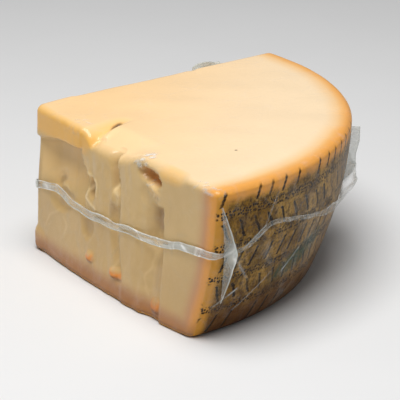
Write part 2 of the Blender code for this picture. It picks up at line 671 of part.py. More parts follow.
def film_fin():
    """Upright strip of film that stands out behind the arc."""
    angle = -HALF_ANGLE + 2 * HALF_ANGLE * FIN_PLACE
    across = unit(angle + math.pi / 2)
    heights = np.array([place[1] for place in FIN_OUTLINE])
    reaches = np.array([place[0] for place in FIN_OUTLINE])
    faces_of_fin = []
    for side in (-0.5, 0.5):
        grid = np.empty((len(heights), 3, 3))
        for row, (z, reach) in enumerate(zip(heights, reaches)):
            for step, out in enumerate((FILM_GAP, (FILM_GAP + reach) / 2, reach + FILM_GAP)):
                point = on_arc(angle, z, out)
                wave = FIN_WAVE * math.sin(z / FIN_WAVE_LENGTH) * step / 2
                point[:2] += across * (side * FIN_THICKNESS + wave)
                grid[row, step] = point
        faces_of_fin.append(grid)
    return slab("film_fin", faces_of_fin[0], faces_of_fin[1], "film")


def join(base, others):
    """Union of the band with its flaps and its fin, one after another."""
    for other in others:
        union = base.modifiers.new("fold", "BOOLEAN")
        union.operation = "UNION"
        union.object = other
        union.solver = "EXACT"
        depsgraph = bpy.context.evaluated_depsgraph_get()
        joined = bpy.data.meshes.new_from_object(base.evaluated_get(depsgraph))
        base.modifiers.remove(union)
        base.data = joined
        bpy.data.objects.remove(other, do_unlink=True)


def film_tab():
    """Small fold of film that stands on the back edge of the top."""
    inner = np.empty((TAB_STEPS + 1, 3, 3))
    outer = np.empty_like(inner)
    for step in range(TAB_STEPS + 1):
        share = step / TAB_STEPS
        s = TAB_START + (TAB_END - TAB_START) * share
        relief = back_relief(np.array([s]), np.array([HEIGHT - TAB_FOOT]))[0]
        hump = math.sin(math.pi * min(1.0, share / (2 * TAB_PEAK)))
        height = TAB_HEIGHT * (TAB_LOW_SHARE + (1 - TAB_LOW_SHARE) * hump)
        for level in range(3):
            rise = height * level / 2
            ripple = TAB_RIPPLE * math.sin(share * TAB_RIPPLE_TURN) * level
            out = relief + TAB_GAP + rise * TAB_LEAN + ripple
            for grid, thick in ((inner, 0), (outer, TAB_THICKNESS)):
                flat = s * BACK_ALONG + BACK_OUT * (out + thick)
                grid[step, level] = (flat[0], flat[1], HEIGHT - TAB_FOOT + rise)
    return slab("film_tab", inner, outer, "film")


def build():
    clear_scene()
    cheese_chunk()
    seam = film_band()
    folds = [corner_flap("flap_front", -1), corner_flap("flap_back", 1), film_fin()]
    join(seam, folds)
    film_tab()


build()
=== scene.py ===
"""The looks of a chunk of hard cheese in tight clear film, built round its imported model."""

import math

import bpy
import numpy as np
from bpy.props import FloatProperty, FloatVectorProperty, PointerProperty
from mathutils import Matrix, Vector


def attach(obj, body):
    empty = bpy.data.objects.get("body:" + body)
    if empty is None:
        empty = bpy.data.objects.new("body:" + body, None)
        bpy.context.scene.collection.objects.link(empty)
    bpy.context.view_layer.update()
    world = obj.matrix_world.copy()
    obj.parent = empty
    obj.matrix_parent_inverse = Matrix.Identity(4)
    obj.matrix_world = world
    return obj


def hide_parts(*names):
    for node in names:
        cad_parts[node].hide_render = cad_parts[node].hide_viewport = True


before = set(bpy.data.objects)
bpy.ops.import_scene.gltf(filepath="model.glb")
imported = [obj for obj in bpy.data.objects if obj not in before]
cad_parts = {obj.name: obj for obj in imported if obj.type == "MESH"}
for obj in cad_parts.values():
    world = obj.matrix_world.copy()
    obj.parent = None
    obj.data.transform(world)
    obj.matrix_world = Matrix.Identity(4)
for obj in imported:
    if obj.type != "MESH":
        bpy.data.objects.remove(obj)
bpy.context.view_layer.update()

bl_info = {
    "name": "Cheese chunk in film",
    "version": (1, 0, 0),
    "blender": (4, 5, 0),
    "location": "View3D > Sidebar > Cheese",
    "description": "Builds a wedge of hard cheese, its clear packing film and a plain stage",
    "category": "Add Mesh",
}

MM = 0.001

# The chunk's own sizes, as its solids have them
WHEEL_RADIUS = 212.4 * MM
HEIGHT = 101.7 * MM
HALF_ANGLE = math.radians(48)
TIP_X = -107.8 * MM
FOOT_SLOPE = 0.435
FOOT_KNEE = 55.8 * MM
FOOT_SOFTNESS = 21.3 * MM
SHOULDER = 0.6 * MM
SHOULDER_HEIGHT = 15 * MM
HEEL = 1 * MM
HEEL_HEIGHT = 9 * MM
TIP_ROUND = 6 * MM
CORNER_ROUND = 5.2 * MM
TOP_ROUND = 4 * MM
TOP_ROUND_TIP = 5 * MM
FOOT_ROUND = 2.5 * MM
RING_MIDDLE = 105 * MM
ARC = 2 * HALF_ANGLE * WHEEL_RADIUS
ROUND_TRIP = 2 * WHEEL_RADIUS + ARC

# Hollow under the lip at the tip
LIP_HEIGHT = 80.9 * MM
LIP_RISE = 5.5 * MM
LIP_KICK = 8 * MM
LIP_SWELL = 1.4 * MM
RECESS_DEPTH = 7.5 * MM
RECESS_AT_TIP = 0.2
RECESS_HEIGHTS = (48 * MM, 56 * MM, 63 * MM, 70 * MM, 74 * MM, 78.5 * MM, 86 * MM, 96 * MM)
FRONT_RECESS_SIDES = (66 * MM, 65 * MM, 67.5 * MM, 69 * MM, 67.5 * MM, 62.5 * MM, 59.5 * MM, 62 * MM)
BACK_RECESS_SIDES = (40 * MM, 38 * MM, 34 * MM, 35 * MM, 37 * MM, 43 * MM, 38 * MM, 32 * MM)

# Hollows and swellings: place along the face, height, half width, half height, depth, lean
FRONT_DENTS = {
    "pocket_beside_ridge": (74 * MM, 64.5 * MM, 4.6 * MM, 7.5 * MM, 4.5 * MM, 0),
    "pocket_under_rim": (141 * MM, 91.5 * MM, 12 * MM, 4.6 * MM, 7 * MM, -0.12),
    "scoop_under_pocket": (141 * MM, 79 * MM, 9 * MM, 7 * MM, 1.8 * MM, 0),
    "mouth_of_crack": (74 * MM, 96.5 * MM, 4.5 * MM, 6 * MM, 3 * MM, 0.3),
    "notch_above_band": (30 * MM, 57.5 * MM, 6 * MM, 6 * MM, 1.8 * MM, 0.5),
    "scoop_under_band": (36 * MM, 45 * MM, 14 * MM, 8 * MM, 2.4 * MM, 0.1),
    "scoop_low_middle": (70 * MM, 38 * MM, 7 * MM, 10 * MM, 2.4 * MM, 0),
}
FRONT_SWELLINGS = {
    "scallop": (103 * MM, 66 * MM, 5.5 * MM, 7 * MM, 3.2 * MM, 0),
    "pillar": (84 * MM, 70 * MM, 9 * MM, 34 * MM, 1.2 * MM, 0),
    "panel": (121 * MM, 58 * MM, 13 * MM, 60 * MM, 1.4 * MM, 0),
    "shelf_under_pocket": (144 * MM, 84.5 * MM, 7 * MM, 2.5 * MM, 1.4 * MM, -0.2),
    "lump_left": (75.7 * MM, 18.8 * MM, 5 * MM, 4 * MM, 2 * MM, 0),
    "lump_middle": (107.5 * MM, 16.9 * MM, 8 * MM, 3.8 * MM, 2.2 * MM, 0),
    "lump_right": (150.6 * MM, 9.3 * MM, 5.5 * MM, 5 * MM, 2 * MM, 0),
    "foot_of_tip": (0, 8 * MM, 16 * MM, 9 * MM, 1.6 * MM, 0),
}
BACK_DENTS = {
    "pocket_low": (74 * MM, 33 * MM, 8 * MM, 6 * MM, 4 * MM, 0.3),
    "pocket_high": (92 * MM, 88 * MM, 9 * MM, 4.5 * MM, 5 * MM, 0.3),
    "scoop_middle": (66 * MM, 65 * MM, 7 * MM, 12 * MM, 2.6 * MM, 0.2),
    "scoop_wide": (160 * MM, 43 * MM, 18 * MM, 24 * MM, 1.4 * MM, 0.2),
    "dent_in_top_edge": (134 * MM, 99.5 * MM, 5 * MM, 4 * MM, 1.6 * MM, 0.3),
}
BACK_SWELLINGS = {
    "rib": (82 * MM, 63 * MM, 7 * MM, 30 * MM, 1.8 * MM, 0.1),
    "lump": (47 * MM, 13 * MM, 4.5 * MM, 3 * MM, 1.5 * MM, 0),
    "foot_of_tip": (0, 8 * MM, 16 * MM, 9 * MM, 1.6 * MM, 0),
}

# Upright channels: middle at the top, lean, sway, half width, depth at the top, depth at the foot,
# low end, high end
FRONT_CHANNELS = {
    "left": (97.6 * MM, 0.14, 1.5 * MM, 5.2 * MM, 4.2 * MM, 2.4 * MM, 13 * MM, 95 * MM),
}
BACK_CHANNELS = {
    "near_tip": (52 * MM, 0, 2 * MM, 5 * MM, 3.2 * MM, 1.8 * MM, 11 * MM, 96 * MM),
}
# Sunk strip that ends at an upright step: left side, right side, top, depth above, depth at the foot
FRONT_CLEFT = (139 * MM, 156 * MM, 74.5 * MM, 6 * MM, 2.6 * MM)
BACK_CLEFT = (98 * MM, 117 * MM, 74 * MM, 4.2 * MM, 2 * MM)
CALM_PANEL = 0.7  # share of the waviness that the flat panels lack

# Crack across the top, measured along the front face and inwards from it
CRACK_START = (72 * MM, 0)
CRACK_END = (62 * MM, 37 * MM)
CRACK_DEPTH = 5.5 * MM
CRACK_WIDTH = 11 * MM
CRACK_STEEP = 4.5 * MM
CRACK_EYE = (65.8 * MM, 23 * MM)
CRACK_EYE_DEPTH = 2.5 * MM
CRACK_EYE_ROUND = 2.6 * MM
CRACK_EYE_LONG = 2.2  # its length over its width
CRACK_EYE_LEAN = 0.5

# Front edge of the top beside the crack, which rolls down to the broken face
ROLL_DEPTH = 8.5 * MM
ROLL_WIDTH = 24 * MM
ROLL_START = (66 * MM, 78 * MM)
ROLL_END = (104 * MM, 134 * MM)
ROLL_ROUND = 6.5 * MM

# Stretch of the front's top edge that is broken away to a slanting edge, up to a sharp notch
CHIP_START = (128 * MM, 146 * MM)
CHIP_END = (170 * MM, 182 * MM)
CHIP_ROUND = 8 * MM

# How far the broken front spreads towards its foot, and between which places along it
SPREAD = 5.5 * MM
SPREAD_START = (-8 * MM, 75 * MM)
SPREAD_END = (140 * MM, 205 * MM)
WAVE_FACE = 0.35 * MM
WAVE_TOP = 0.25 * MM
FLUTE = 0.32 * MM  # fine upright fluting of the broken part

# Welded band of the film: way round the chunk from the tip, height of its lower edge
BAND_COURSE = (
    (0, 43.3 * MM),
    (18 * MM, 46.8 * MM),
    (32 * MM, 48 * MM),
    (49 * MM, 45 * MM),
    (69 * MM, 44.4 * MM),
    (92 * MM, 45 * MM),
    (110 * MM, 46.5 * MM),
    (130 * MM, 48.9 * MM),
    (145 * MM, 48.8 * MM),
    (167 * MM, 51.8 * MM),
    (187 * MM, 56 * MM),
    (WHEEL_RADIUS + 0.02 * ARC, 58.5 * MM),
    (WHEEL_RADIUS + 0.083 * ARC, 60.5 * MM),
    (WHEEL_RADIUS + 0.127 * ARC, 69 * MM),
    (WHEEL_RADIUS + 0.19 * ARC, 67.5 * MM),
    (WHEEL_RADIUS + 0.256 * ARC, 62.5 * MM),
    (WHEEL_RADIUS + 0.43 * ARC, 49.5 * MM),
    (WHEEL_RADIUS + 0.58 * ARC, 46 * MM),
    (WHEEL_RADIUS + 0.76 * ARC, 47.5 * MM),
    (WHEEL_RADIUS + 0.94 * ARC, 53.5 * MM),
    (WHEEL_RADIUS + ARC + 40 * MM, 52.5 * MM),
    (WHEEL_RADIUS + ARC + 110 * MM, 46.5 * MM),
    (WHEEL_RADIUS + ARC + 170 * MM, 48.5 * MM),
)
BAND_WIDTH = 5.5 * MM
BAND_WIDTH_RIND = 3 * MM
BAND_WIDTH_LOOSE = 14.5 * MM
BAND_THICKNESS = 0.7 * MM
BAND_LEAN = math.radians(33)
BAND_ACROSS = 13  # points across it
BAND_TURN = 10 * MM  # over which its width changes at a rind corner
BAND_SPAN = 9  # columns each side over which it spans hollows
SKIN_SPAN = 4  # the same for the tight film
LOOSE_START = 0.27
LOOSE_FULL = 0.52
LOOSE_HOLD = 0.66
LOOSE_END = 0.80
FILM_GAP = 0.6 * MM
SKIN_GAP = 0.3 * MM

# Folded flap at each rind corner: distances along the arc from the corner, and heights
FLAP_TOP = (4.3 * MM, 92 * MM)
FLAP_TIP = (18 * MM, 58.5 * MM)
FLAP_FOOT = (15.5 * MM, 23.5 * MM)
FLAP_WIDTH = 9.5 * MM
FLAP_LIFT = 3 * MM
FLAP_THICKNESS = 0.5 * MM
FLAP_ROWS = 60
FLAP_ACROSS = 14

# Fin of film behind the arc: its share of the arc, then reach and height of each point
FIN_PLACE = 0.6
FIN_OUTLINE = (
    (1.9 * MM, 46.5 * MM),
    (7.9 * MM, 54.5 * MM),
    (8.6 * MM, 60 * MM),
    (7.4 * MM, 67 * MM),
    (8.2 * MM, 76 * MM),
    (7.2 * MM, 86.5 * MM),
)
FIN_THICKNESS = 0.5 * MM
FIN_WAVE = 1.2 * MM
FIN_ROWS = 60
FIN_ACROSS = 10

# Small fold on the back edge of the top
TAB_START = 139 * MM
TAB_END = 165 * MM
TAB_HEIGHT = 5 * MM
TAB_THICKNESS = 0.5 * MM
TAB_STEPS = 40
TAB_LEVELS = 8

# Marks of the rind, in millimetres: how far their rows are raised, dots of a bar, cells of the specks
MARKS_RISE = 5.5
DOT_STEP = 2.7
SPECK_CELL = 2.1

# Creases of the film over the rind: along the arc and up, from one end to the other, and strength
CREASES = (
    ((9.6 * MM, 21.8 * MM), (29 * MM, 31.5 * MM), 0.6),
    ((72 * MM, 30.1 * MM), (89 * MM, 43.5 * MM), 0.7),
    ((26 * MM, 60.5 * MM), (43 * MM, 71.5 * MM), 0.9),
    ((43 * MM, 71.5 * MM), (50 * MM, 88.5 * MM), 0.35),
    ((20 * MM, 54.5 * MM), (36 * MM, 35.5 * MM), 0.4),
    ((30 * MM, 14.5 * MM), (60 * MM, 34.5 * MM), 0.45),
    ((95 * MM, 46.5 * MM), (118 * MM, 60.5 * MM), 0.4),
    ((210 * MM, 32.5 * MM), (236 * MM, 54.5 * MM), 0.7),
    ((262 * MM, 26.5 * MM), (286 * MM, 38.5 * MM), 0.6),
    ((240 * MM, 64.5 * MM), (262 * MM, 80.5 * MM), 0.6),
)
CREASE_WIDTH = 0.9 * MM

# Thin crests of the broken front in millimetres along it and up, and how strongly each shows; they are
# raised a little and carry a painted highlight
RIDGES = (
    (((60, 85), (62, 79), (67.5, 73.5), (74.5, 72), (80, 71), (81.5, 67), (80, 61.5)), 1.0),
    (((74.5, 68), (69, 62), (66.5, 56), (71, 53.5), (79, 52)), 0.9),
    (((104.5, 96), (104, 86), (106, 80.5), (101.5, 76), (99.5, 71), (103, 68)), 0.7),
    (((109, 66), (111, 58)), 0.25),
    (((105.5, 45), (105, 35), (109.5, 31), (103.5, 19)), 0.22),
    (((136.5, 49), (145, 43.5), (143.5, 32.5), (139, 26), (144, 9)), 0.22),
    (((151.5, 74), (156, 71), (155, 57)), 0.7),
    (((139, 88), (145.5, 86), (143, 79)), 0.6),
    (((14, 20), (20, 29.5), (32, 36.5)), 0.22),
    (((39, 33.5), (43.5, 29.5), (41, 21.5)), 0.22),
    (((32.5, 55.5), (39, 55), (44, 51)), 0.6),
)
RIDGE_RISE = 0.6 * MM

# Painted shade in the front's grooves and hollows: place along it, height, half width, half height, lean,
# strength
SHADES = (
    (99.5 * MM, 84 * MM, 4.5 * MM, 13 * MM, 0, 0.6),
    (74 * MM, 64 * MM, 4.5 * MM, 6.5 * MM, 0, 0.8),
    (69 * MM, 38 * MM, 6 * MM, 10 * MM, 0, 0.55),
    (97.5 * MM, 58 * MM, 3 * MM, 6.5 * MM, 0, 0.55),
    (148 * MM, 65.5 * MM, 7 * MM, 10 * MM, 0, 0.95),
    (151 * MM, 30 * MM, 4.5 * MM, 23 * MM, 0, 0.5),
    (33 * MM, 45 * MM, 4 * MM, 6 * MM, 0, 0.5),
    (30 * MM, 57.5 * MM, 3.5 * MM, 3.5 * MM, 0.5, 0.6),
    (34 * MM, 83 * MM, 34 * MM, 3 * MM, 0.1, 0.4),
)

# Zones of colour: inwards from the rind, up from the foot, and the radii of a fleck
BLUSH = (4 * MM, 20 * MM)
ORANGE_MARGIN = (2 * MM, 10.5 * MM)
MARGIN_WANDER = 6 * MM
# FOOT_SHADE and FOOT_EDGE: painted shade, darker towards the foot and along the lowest edge
FOOT_SHADE = (0, 17 * MM)
FOOT_WANDER = 10 * MM
FOOT_EDGE = (1.2 * MM, 4.2 * MM)
# LOW_RIND: the rind darker and redder towards its foot, partly its own colour and partly painted shade
LOW_RIND = (6 * MM, 40 * MM)
RIND_RIM = (90.5 * MM, 97.2 * MM)
RIM_WANDER = 12 * MM
FLECK_SIZE = (0.6 * MM, 1.3 * MM)

# Small dark fleck on the cut top
FLECK_PLACE = (35.8 * MM, -73.9 * MM, 101.7 * MM)

# Painted highlights of the film at the front: place along it, height, half width, half height, strength
GLINTS = (
    (131 * MM, 99 * MM, 8 * MM, 5 * MM, 0.75),
    (143 * MM, 86.5 * MM, 4 * MM, 3 * MM, 0.7),
    (50 * MM, 98 * MM, 10 * MM, 2.5 * MM, 0.35),
    (198 * MM, 99.5 * MM, 13 * MM, 1.2 * MM, 0.6),
    (212 * MM, 98 * MM, 4 * MM, 2.5 * MM, 0.8),
)

# Steps of the fine meshes: front, rind, back, corner, tip, upright, round, top rings
FINE = {
    "front": 190, "rind": 150, "back": 170, "corner": 8, "tip": 18, "upright": 78, "round": 6, "top": 44
}
SKIN = {
    "front": 150, "rind": 300, "back": 140, "corner": 5, "tip": 12, "upright": 90, "round": 4, "top": 30
}

# Camera, found from the photo's outline: angles round and above the chunk, distance, lens
CAMERA_AZIMUTH = math.radians(7.27)
CAMERA_ELEVATION = math.radians(19.41)
CAMERA_ROLL = math.radians(0.80)
CAMERA_DISTANCE = 1.4326
CAMERA_LENS = 194.28
CAMERA_TARGET = (0.0049, -0.0059, 0.0504)
AIM_RIGHT = -0.13 * MM
AIM_UP = -7.29 * MM


def ease(x, low, high):
    """Smooth rise from 0 at low to 1 at high."""
    t = np.clip((np.asarray(x, float) - low) / (high - low), 0, 1)
    return t * t * (3 - 2 * t)


def between(x, low, high, soft):
    """1 between low and high, with a soft edge each side."""
    return ease(x, low - soft, low + soft) * (1 - ease(x, high - soft, high + soft))


def spot(s, z, place, height, half_width, half_height, lean):
    """1 inside a leaning ellipse, easing to 0 at its edge."""
    across = (s - place) / half_width
    up = (z - height - lean * (s - place)) / half_height
    return 1 - ease(across * across + up * up, 0.1, 1.35)


def soft_noise(a, b, size, seed):
    """Smooth noise from -1 to 1 over a plane, the same on every run."""
    grid = np.random.default_rng(seed).uniform(-1, 1, (64, 64))
    x, y = np.asarray(a) / size, np.asarray(b) / size
    i, j = np.floor(x).astype(int), np.floor(y).astype(int)
    fx, fy = x - i, y - j
    fx, fy = fx * fx * (3 - 2 * fx), fy * fy * (3 - 2 * fy)
    near, far = grid[i % 64, j % 64], grid[(i + 1) % 64, j % 64]
    near_up, far_up = grid[i % 64, (j + 1) % 64], grid[(i + 1) % 64, (j + 1) % 64]
    return (near * (1 - fx) + far * fx) * (1 - fy) + (near_up * (1 - fx) + far_up * fx) * fy


def channels(s, z, grooves):
    depth = np.zeros_like(s)
    for middle, lean, sway, half_width, top_depth, foot_depth, low, high in grooves.values():
        line = middle + lean * (HEIGHT - z) + sway * np.sin(z / (9 * MM))
        across = (s - line) / half_width
        profile = np.where(across > 0, 1 - ease(across, 0.55, 1.0), 1 - ease(-across, 0.2, 1.3))
        reach = between(z, low, high, 4 * MM)
        depth += profile * reach * (foot_depth + (top_depth - foot_depth) * ease(z, low, high))
    return depth


def dents(s, z, hollows, swellings):
    depth = np.zeros_like(s)
    for place, height, half_width, half_height, deep, lean in hollows.values():
        depth += deep * spot(s, z, place, height, half_width, half_height, lean)
    for place, height, half_width, half_height, high, lean in swellings.values():
        depth -= high * spot(s, z, place, height, half_width, half_height, lean)
    return depth


def waves(a, b, size):
    slow = np.sin(a / (17 * MM) + 1.3 * np.sin(b / (21 * MM)))
    fast = np.sin(b / (9 * MM) + 2.1 * np.sin(a / (13 * MM)))
    return size * (0.6 * slow + 0.4 * fast)


def recess(s, z, sides):
    """Depth of the large hollow under the lip, less the swelling of the lip itself."""
    lip = LIP_HEIGHT + LIP_RISE * ease(s, 0, 40 * MM) + LIP_KICK * ease(s, 56 * MM, 74 * MM)
    inside = ease(np.interp(z, RECESS_HEIGHTS, sides) - s, -0.8 * MM, 1.8 * MM)
    under_lip = ease(lip - z, -0.8 * MM, 1.8 * MM)
    fade_down = ease(z, 38 * MM, 78 * MM)
    fade_tip = RECESS_AT_TIP + (1 - RECESS_AT_TIP) * ease(s, 0, 26 * MM)
    swell = LIP_SWELL * inside * (1 - under_lip) * ease(s, -10 * MM, 30 * MM)
    return RECESS_DEPTH * under_lip * inside * fade_down * fade_tip - swell


def cleft(s, z, left, right, top, depth, foot_depth):
    across = ease(s, left - 4 * MM, left + 7 * MM) * (1 - ease(s, right - 1.2 * MM, right + 1.2 * MM))
    down = 1 - ease(z, top - 3 * MM, top + 2 * MM)
    return across * down * (foot_depth + (depth - foot_depth) * ease(z, 30 * MM, 52 * MM))


def face_relief(s, z, sides, strip, grooves, hollows, swellings):
    """How far a broken face stands out, at a distance s from the tip and a height z."""
    depth = recess(s, z, sides) + cleft(s, z, *strip) + channels(s, z, grooves)
    depth += dents(s, z, hollows, swellings)
    calm = 1 - CALM_PANEL * ease(s, strip[1], strip[1] + 6 * MM)
    rough = ease(s, 20 * MM, 60 * MM) * (1 - ease(s, strip[1] - 4 * MM, strip[1] + 2 * MM))
    flutes = FLUTE * rough * soft_noise(s + 0.15 * z, z / 5, 4.5 * MM, 11)
    flutes += 0.5 * FLUTE * rough * soft_noise(s, z / 1.5, 2.6 * MM, 12)
    return waves(s, z, WAVE_FACE) * calm + flutes - depth


def crests(s, z):
    """1 on the thin crests of the broken front, 0 beside them."""
    s, z = s / MM, z / MM
    wander = 0.8 * soft_noise(s, z, 3.0, 71)
    most = np.zeros_like(s + z)
    for line, strength in RIDGES:
        for (ax, az), (bx, bz) in zip(line, line[1:]):
            way = ((s - ax) * (bx - ax) + (z - az) * (bz - az)) / ((bx - ax) ** 2 + (bz - az) ** 2)
            way = np.clip(way, 0, 1)
            off = np.hypot(s - ax - way * (bx - ax) + wander, z - az - way * (bz - az))
            most = np.maximum(most, strength * (1 - ease(off, 0.3, 1.6)))
    return most


def spread(s, z):
    """How far the front spreads towards its foot."""
    along = ease(s, *SPREAD_START) * (1 - ease(s, *SPREAD_END))
    return SPREAD * along * np.clip(1 - z / HEIGHT, 0, 1) ** 2


def front_relief(s, z):
    broken = face_relief(
        s, z, FRONT_RECESS_SIDES, FRONT_CLEFT, FRONT_CHANNELS, FRONT_DENTS, FRONT_SWELLINGS
    )
    return broken + spread(s, z) + RIDGE_RISE * crests(s, z)


def back_relief(s, z):
    return face_relief(s, z, BACK_RECESS_SIDES, BACK_CLEFT, BACK_CHANNELS, BACK_DENTS, BACK_SWELLINGS)


def crack_place(along, inwards):
    """Way along the crack, distance off it, and the crack's length."""
    (ax, ay), (bx, by) = CRACK_START, CRACK_END
    length = math.hypot(bx - ax, by - ay)
    ux, uy = (bx - ax) / length, (by - ay) / length
    run = (along - ax) * ux + (inwards - ay) * uy
    off = (along - ax) * uy - (inwards - ay) * ux
    return run, off, length


def roll_along(along):
    """Where the front edge of the top rolls down: 1 in the middle of that stretch."""
    return ease(along, *ROLL_START) * (1 - ease(along, *ROLL_END))


def top_rounding(along, inwards, tip):
    """How far the edge of the top is rounded, at a place along the front and inwards from it."""
    near_front = 1 - ease(inwards, 0, ROLL_WIDTH)
    chipped = ease(along, *CHIP_START) * (1 - ease(along, *CHIP_END))
    more = (ROLL_ROUND - TOP_ROUND) * roll_along(along) + (CHIP_ROUND - TOP_ROUND) * chipped
    return TOP_ROUND + (TOP_ROUND_TIP - TOP_ROUND) * tip + more * near_front


def top_relief(along, inwards):
    """Height of the cut top, with its rolled edge and the crack that runs in from the front face."""
    run, off, length = crack_place(along, inwards)
    profile = np.where(off > 0, 1 - ease(off, 0, CRACK_STEEP), 1 - ease(-off, 0, CRACK_WIDTH))
    depth = CRACK_DEPTH * profile * np.clip(1 - run / length, 0, 1)
    across = (along - CRACK_EYE[0]) + (inwards - CRACK_EYE[1]) * CRACK_EYE_LEAN
    eye = np.hypot(across, (inwards - CRACK_EYE[1]) / CRACK_EYE_LONG)
    depth += CRACK_EYE_DEPTH * (1 - ease(eye, 0, CRACK_EYE_ROUND))
    depth += ROLL_DEPTH * roll_along(along) * (1 - ease(inwards, 0, ROLL_WIDTH))
    return waves(along, inwards, WAVE_TOP) - depth


def rind_radius(z):
    """The wheel's side: nearly upright at its middle, drawn in at the foot."""
    below = (FOOT_KNEE - np.asarray(z, float)) / FOOT_SOFTNESS
    shoulder = SHOULDER * np.clip((z - HEIGHT + SHOULDER_HEIGHT) / SHOULDER_HEIGHT, 0, 1) ** 2
    heel = HEEL * np.clip(1 - z / HEEL_HEIGHT, 0, 1) ** 2
    return WHEEL_RADIUS - FOOT_SLOPE * FOOT_SOFTNESS * np.logaddexp(0, below) - shoulder - heel


def unit(angle):
    return np.stack([np.cos(angle), np.sin(angle)], axis=-1)


FRONT_ALONG = unit(-HALF_ANGLE)
FRONT_OUT = unit(-HALF_ANGLE - math.pi / 2)
BACK_ALONG = unit(HALF_ANGLE)
BACK_OUT = unit(HALF_ANGLE + math.pi / 2)


def spanned(heights, span):
    """Heights of a taut film that spans hollows by so many columns each side."""
    shifts = range(-span, span + 1)
    widest = np.max([np.roll(heights, k) for k in shifts], axis=0)
    return np.mean([np.roll(widest, k) for k in shifts], axis=0)


class Outline:
    """The sector's outline as columns, from the tip along the front, round the rind and back."""

    def __init__(self, steps):
        self.steps = steps
        self.parts, start = {}, 0
        sizes = (
            ("front", steps["front"] + 1),
            ("front_corner", steps["corner"] - 1),
            ("rind", steps["rind"] + 1),
            ("back_corner", steps["corner"] - 1),
            ("back", steps["back"] + 1),
            ("tip", steps["tip"] - 1),
        )
        for name, size in sizes:
            self.parts[name] = slice(start, start + size)
            start += size
        self.columns = start

    def at(self, z):
        """Points, outward normals and the way round, each column at its own height."""
        z = np.broadcast_to(np.asarray(z, float), (self.columns,))
        radius = rind_radius(z)
        corner_x = np.sqrt((radius - CORNER_ROUND) ** 2 - CORNER_ROUND**2)
        turn = np.arctan2(CORNER_ROUND, corner_x)
        tip_run = TIP_ROUND / math.tan(HALF_ANGLE)
        points = np.empty((self.columns, 2))
        normals = np.empty((self.columns, 2))
        way = np.empty(self.columns)
        upright_way = corner_x / radius * WHEEL_RADIUS
        arc_way = WHEEL_RADIUS * (1 + turn)
        faces = (
            ("front", "front_corner", FRONT_ALONG, FRONT_OUT, 1),
            ("back", "back_corner", BACK_ALONG, BACK_OUT, -1),
        )
        for name, corner_name, along, out, side in faces:
            part = self.parts[name]
            share = np.linspace(0, 1, part.stop - part.start)[::side]
            run = tip_run + (corner_x[part] - tip_run) * share
            points[part] = run[:, None] * along
            normals[part] = out
            here = run / radius[part] * WHEEL_RADIUS
            way[part] = here if side > 0 else ROUND_TRIP - here
            part = self.parts[corner_name]
            share = (np.arange(1, part.stop - part.start + 1) / self.steps["corner"])[::side]
            start = side * (-HALF_ANGLE - math.pi / 2)
            angle = start + (side * (turn[part] - HALF_ANGLE) - start) * share
            normals[part] = unit(angle)
            centre = corner_x[part, None] * along - CORNER_ROUND * out
            points[part] = centre + CORNER_ROUND * normals[part]
            here = upright_way[part] + (arc_way[part] - upright_way[part]) * share
            way[part] = here if side > 0 else ROUND_TRIP - here
        part = self.parts["rind"]
        reach = HALF_ANGLE - turn[part]
        angle = reach * np.linspace(-1, 1, part.stop - part.start)
        normals[part] = unit(angle)
        points[part] = radius[part, None] * normals[part]
        way[part] = WHEEL_RADIUS * (1 + HALF_ANGLE + angle)
        part = self.parts["tip"]
        share = np.arange(1, self.steps["tip"]) / self.steps["tip"]
        normals[part] = unit(HALF_ANGLE + math.pi / 2 + (math.pi - 2 * HALF_ANGLE) * share)
        points[part] = np.array([TIP_ROUND / math.sin(HALF_ANGLE), 0]) + TIP_ROUND * normals[part]
        way[part] = ROUND_TRIP + tip_run * (2 * share - 1)
        return points, normals, way

    def relief(self, points, normals, z):
        front = front_relief(points @ FRONT_ALONG, z) * np.clip(normals @ FRONT_OUT, 0, 1) ** 1.5
        back = back_relief(points @ BACK_ALONG, z) * np.clip(normals @ BACK_OUT, 0, 1) ** 1.5
        return front + back

    def ring(self, z, inset, film):
        """One ring of the chunk's surface, or of the film over it."""
        points, normals, _ = self.at(z)
        out = self.relief(points, normals, z) - inset
        if film:
            bridge = np.clip(spanned(out, SKIN_SPAN) - out, 0, 1.2 * MM)
            out = out + 0.5 * bridge + SKIN_GAP
        flat = points + normals * out[:, None]
        return np.column_stack([flat, np.broadcast_to(z, (self.columns,))])


def top_edges(outline):
    """For each column, how far the edge of the top is rounded and how high it lies."""
    points, normals, _ = outline.at(HEIGHT - SHOULDER_HEIGHT)
    along, inwards = points @ FRONT_ALONG, -(points @ FRONT_OUT)
    tip = 1 - ease(np.linalg.norm(points, axis=1), 10 * MM, 34 * MM)
    rounded = top_rounding(along, inwards, tip)
    rim = points - normals * rounded[:, None]
    return rounded, HEIGHT + top_relief(rim @ FRONT_ALONG, -(rim @ FRONT_OUT))


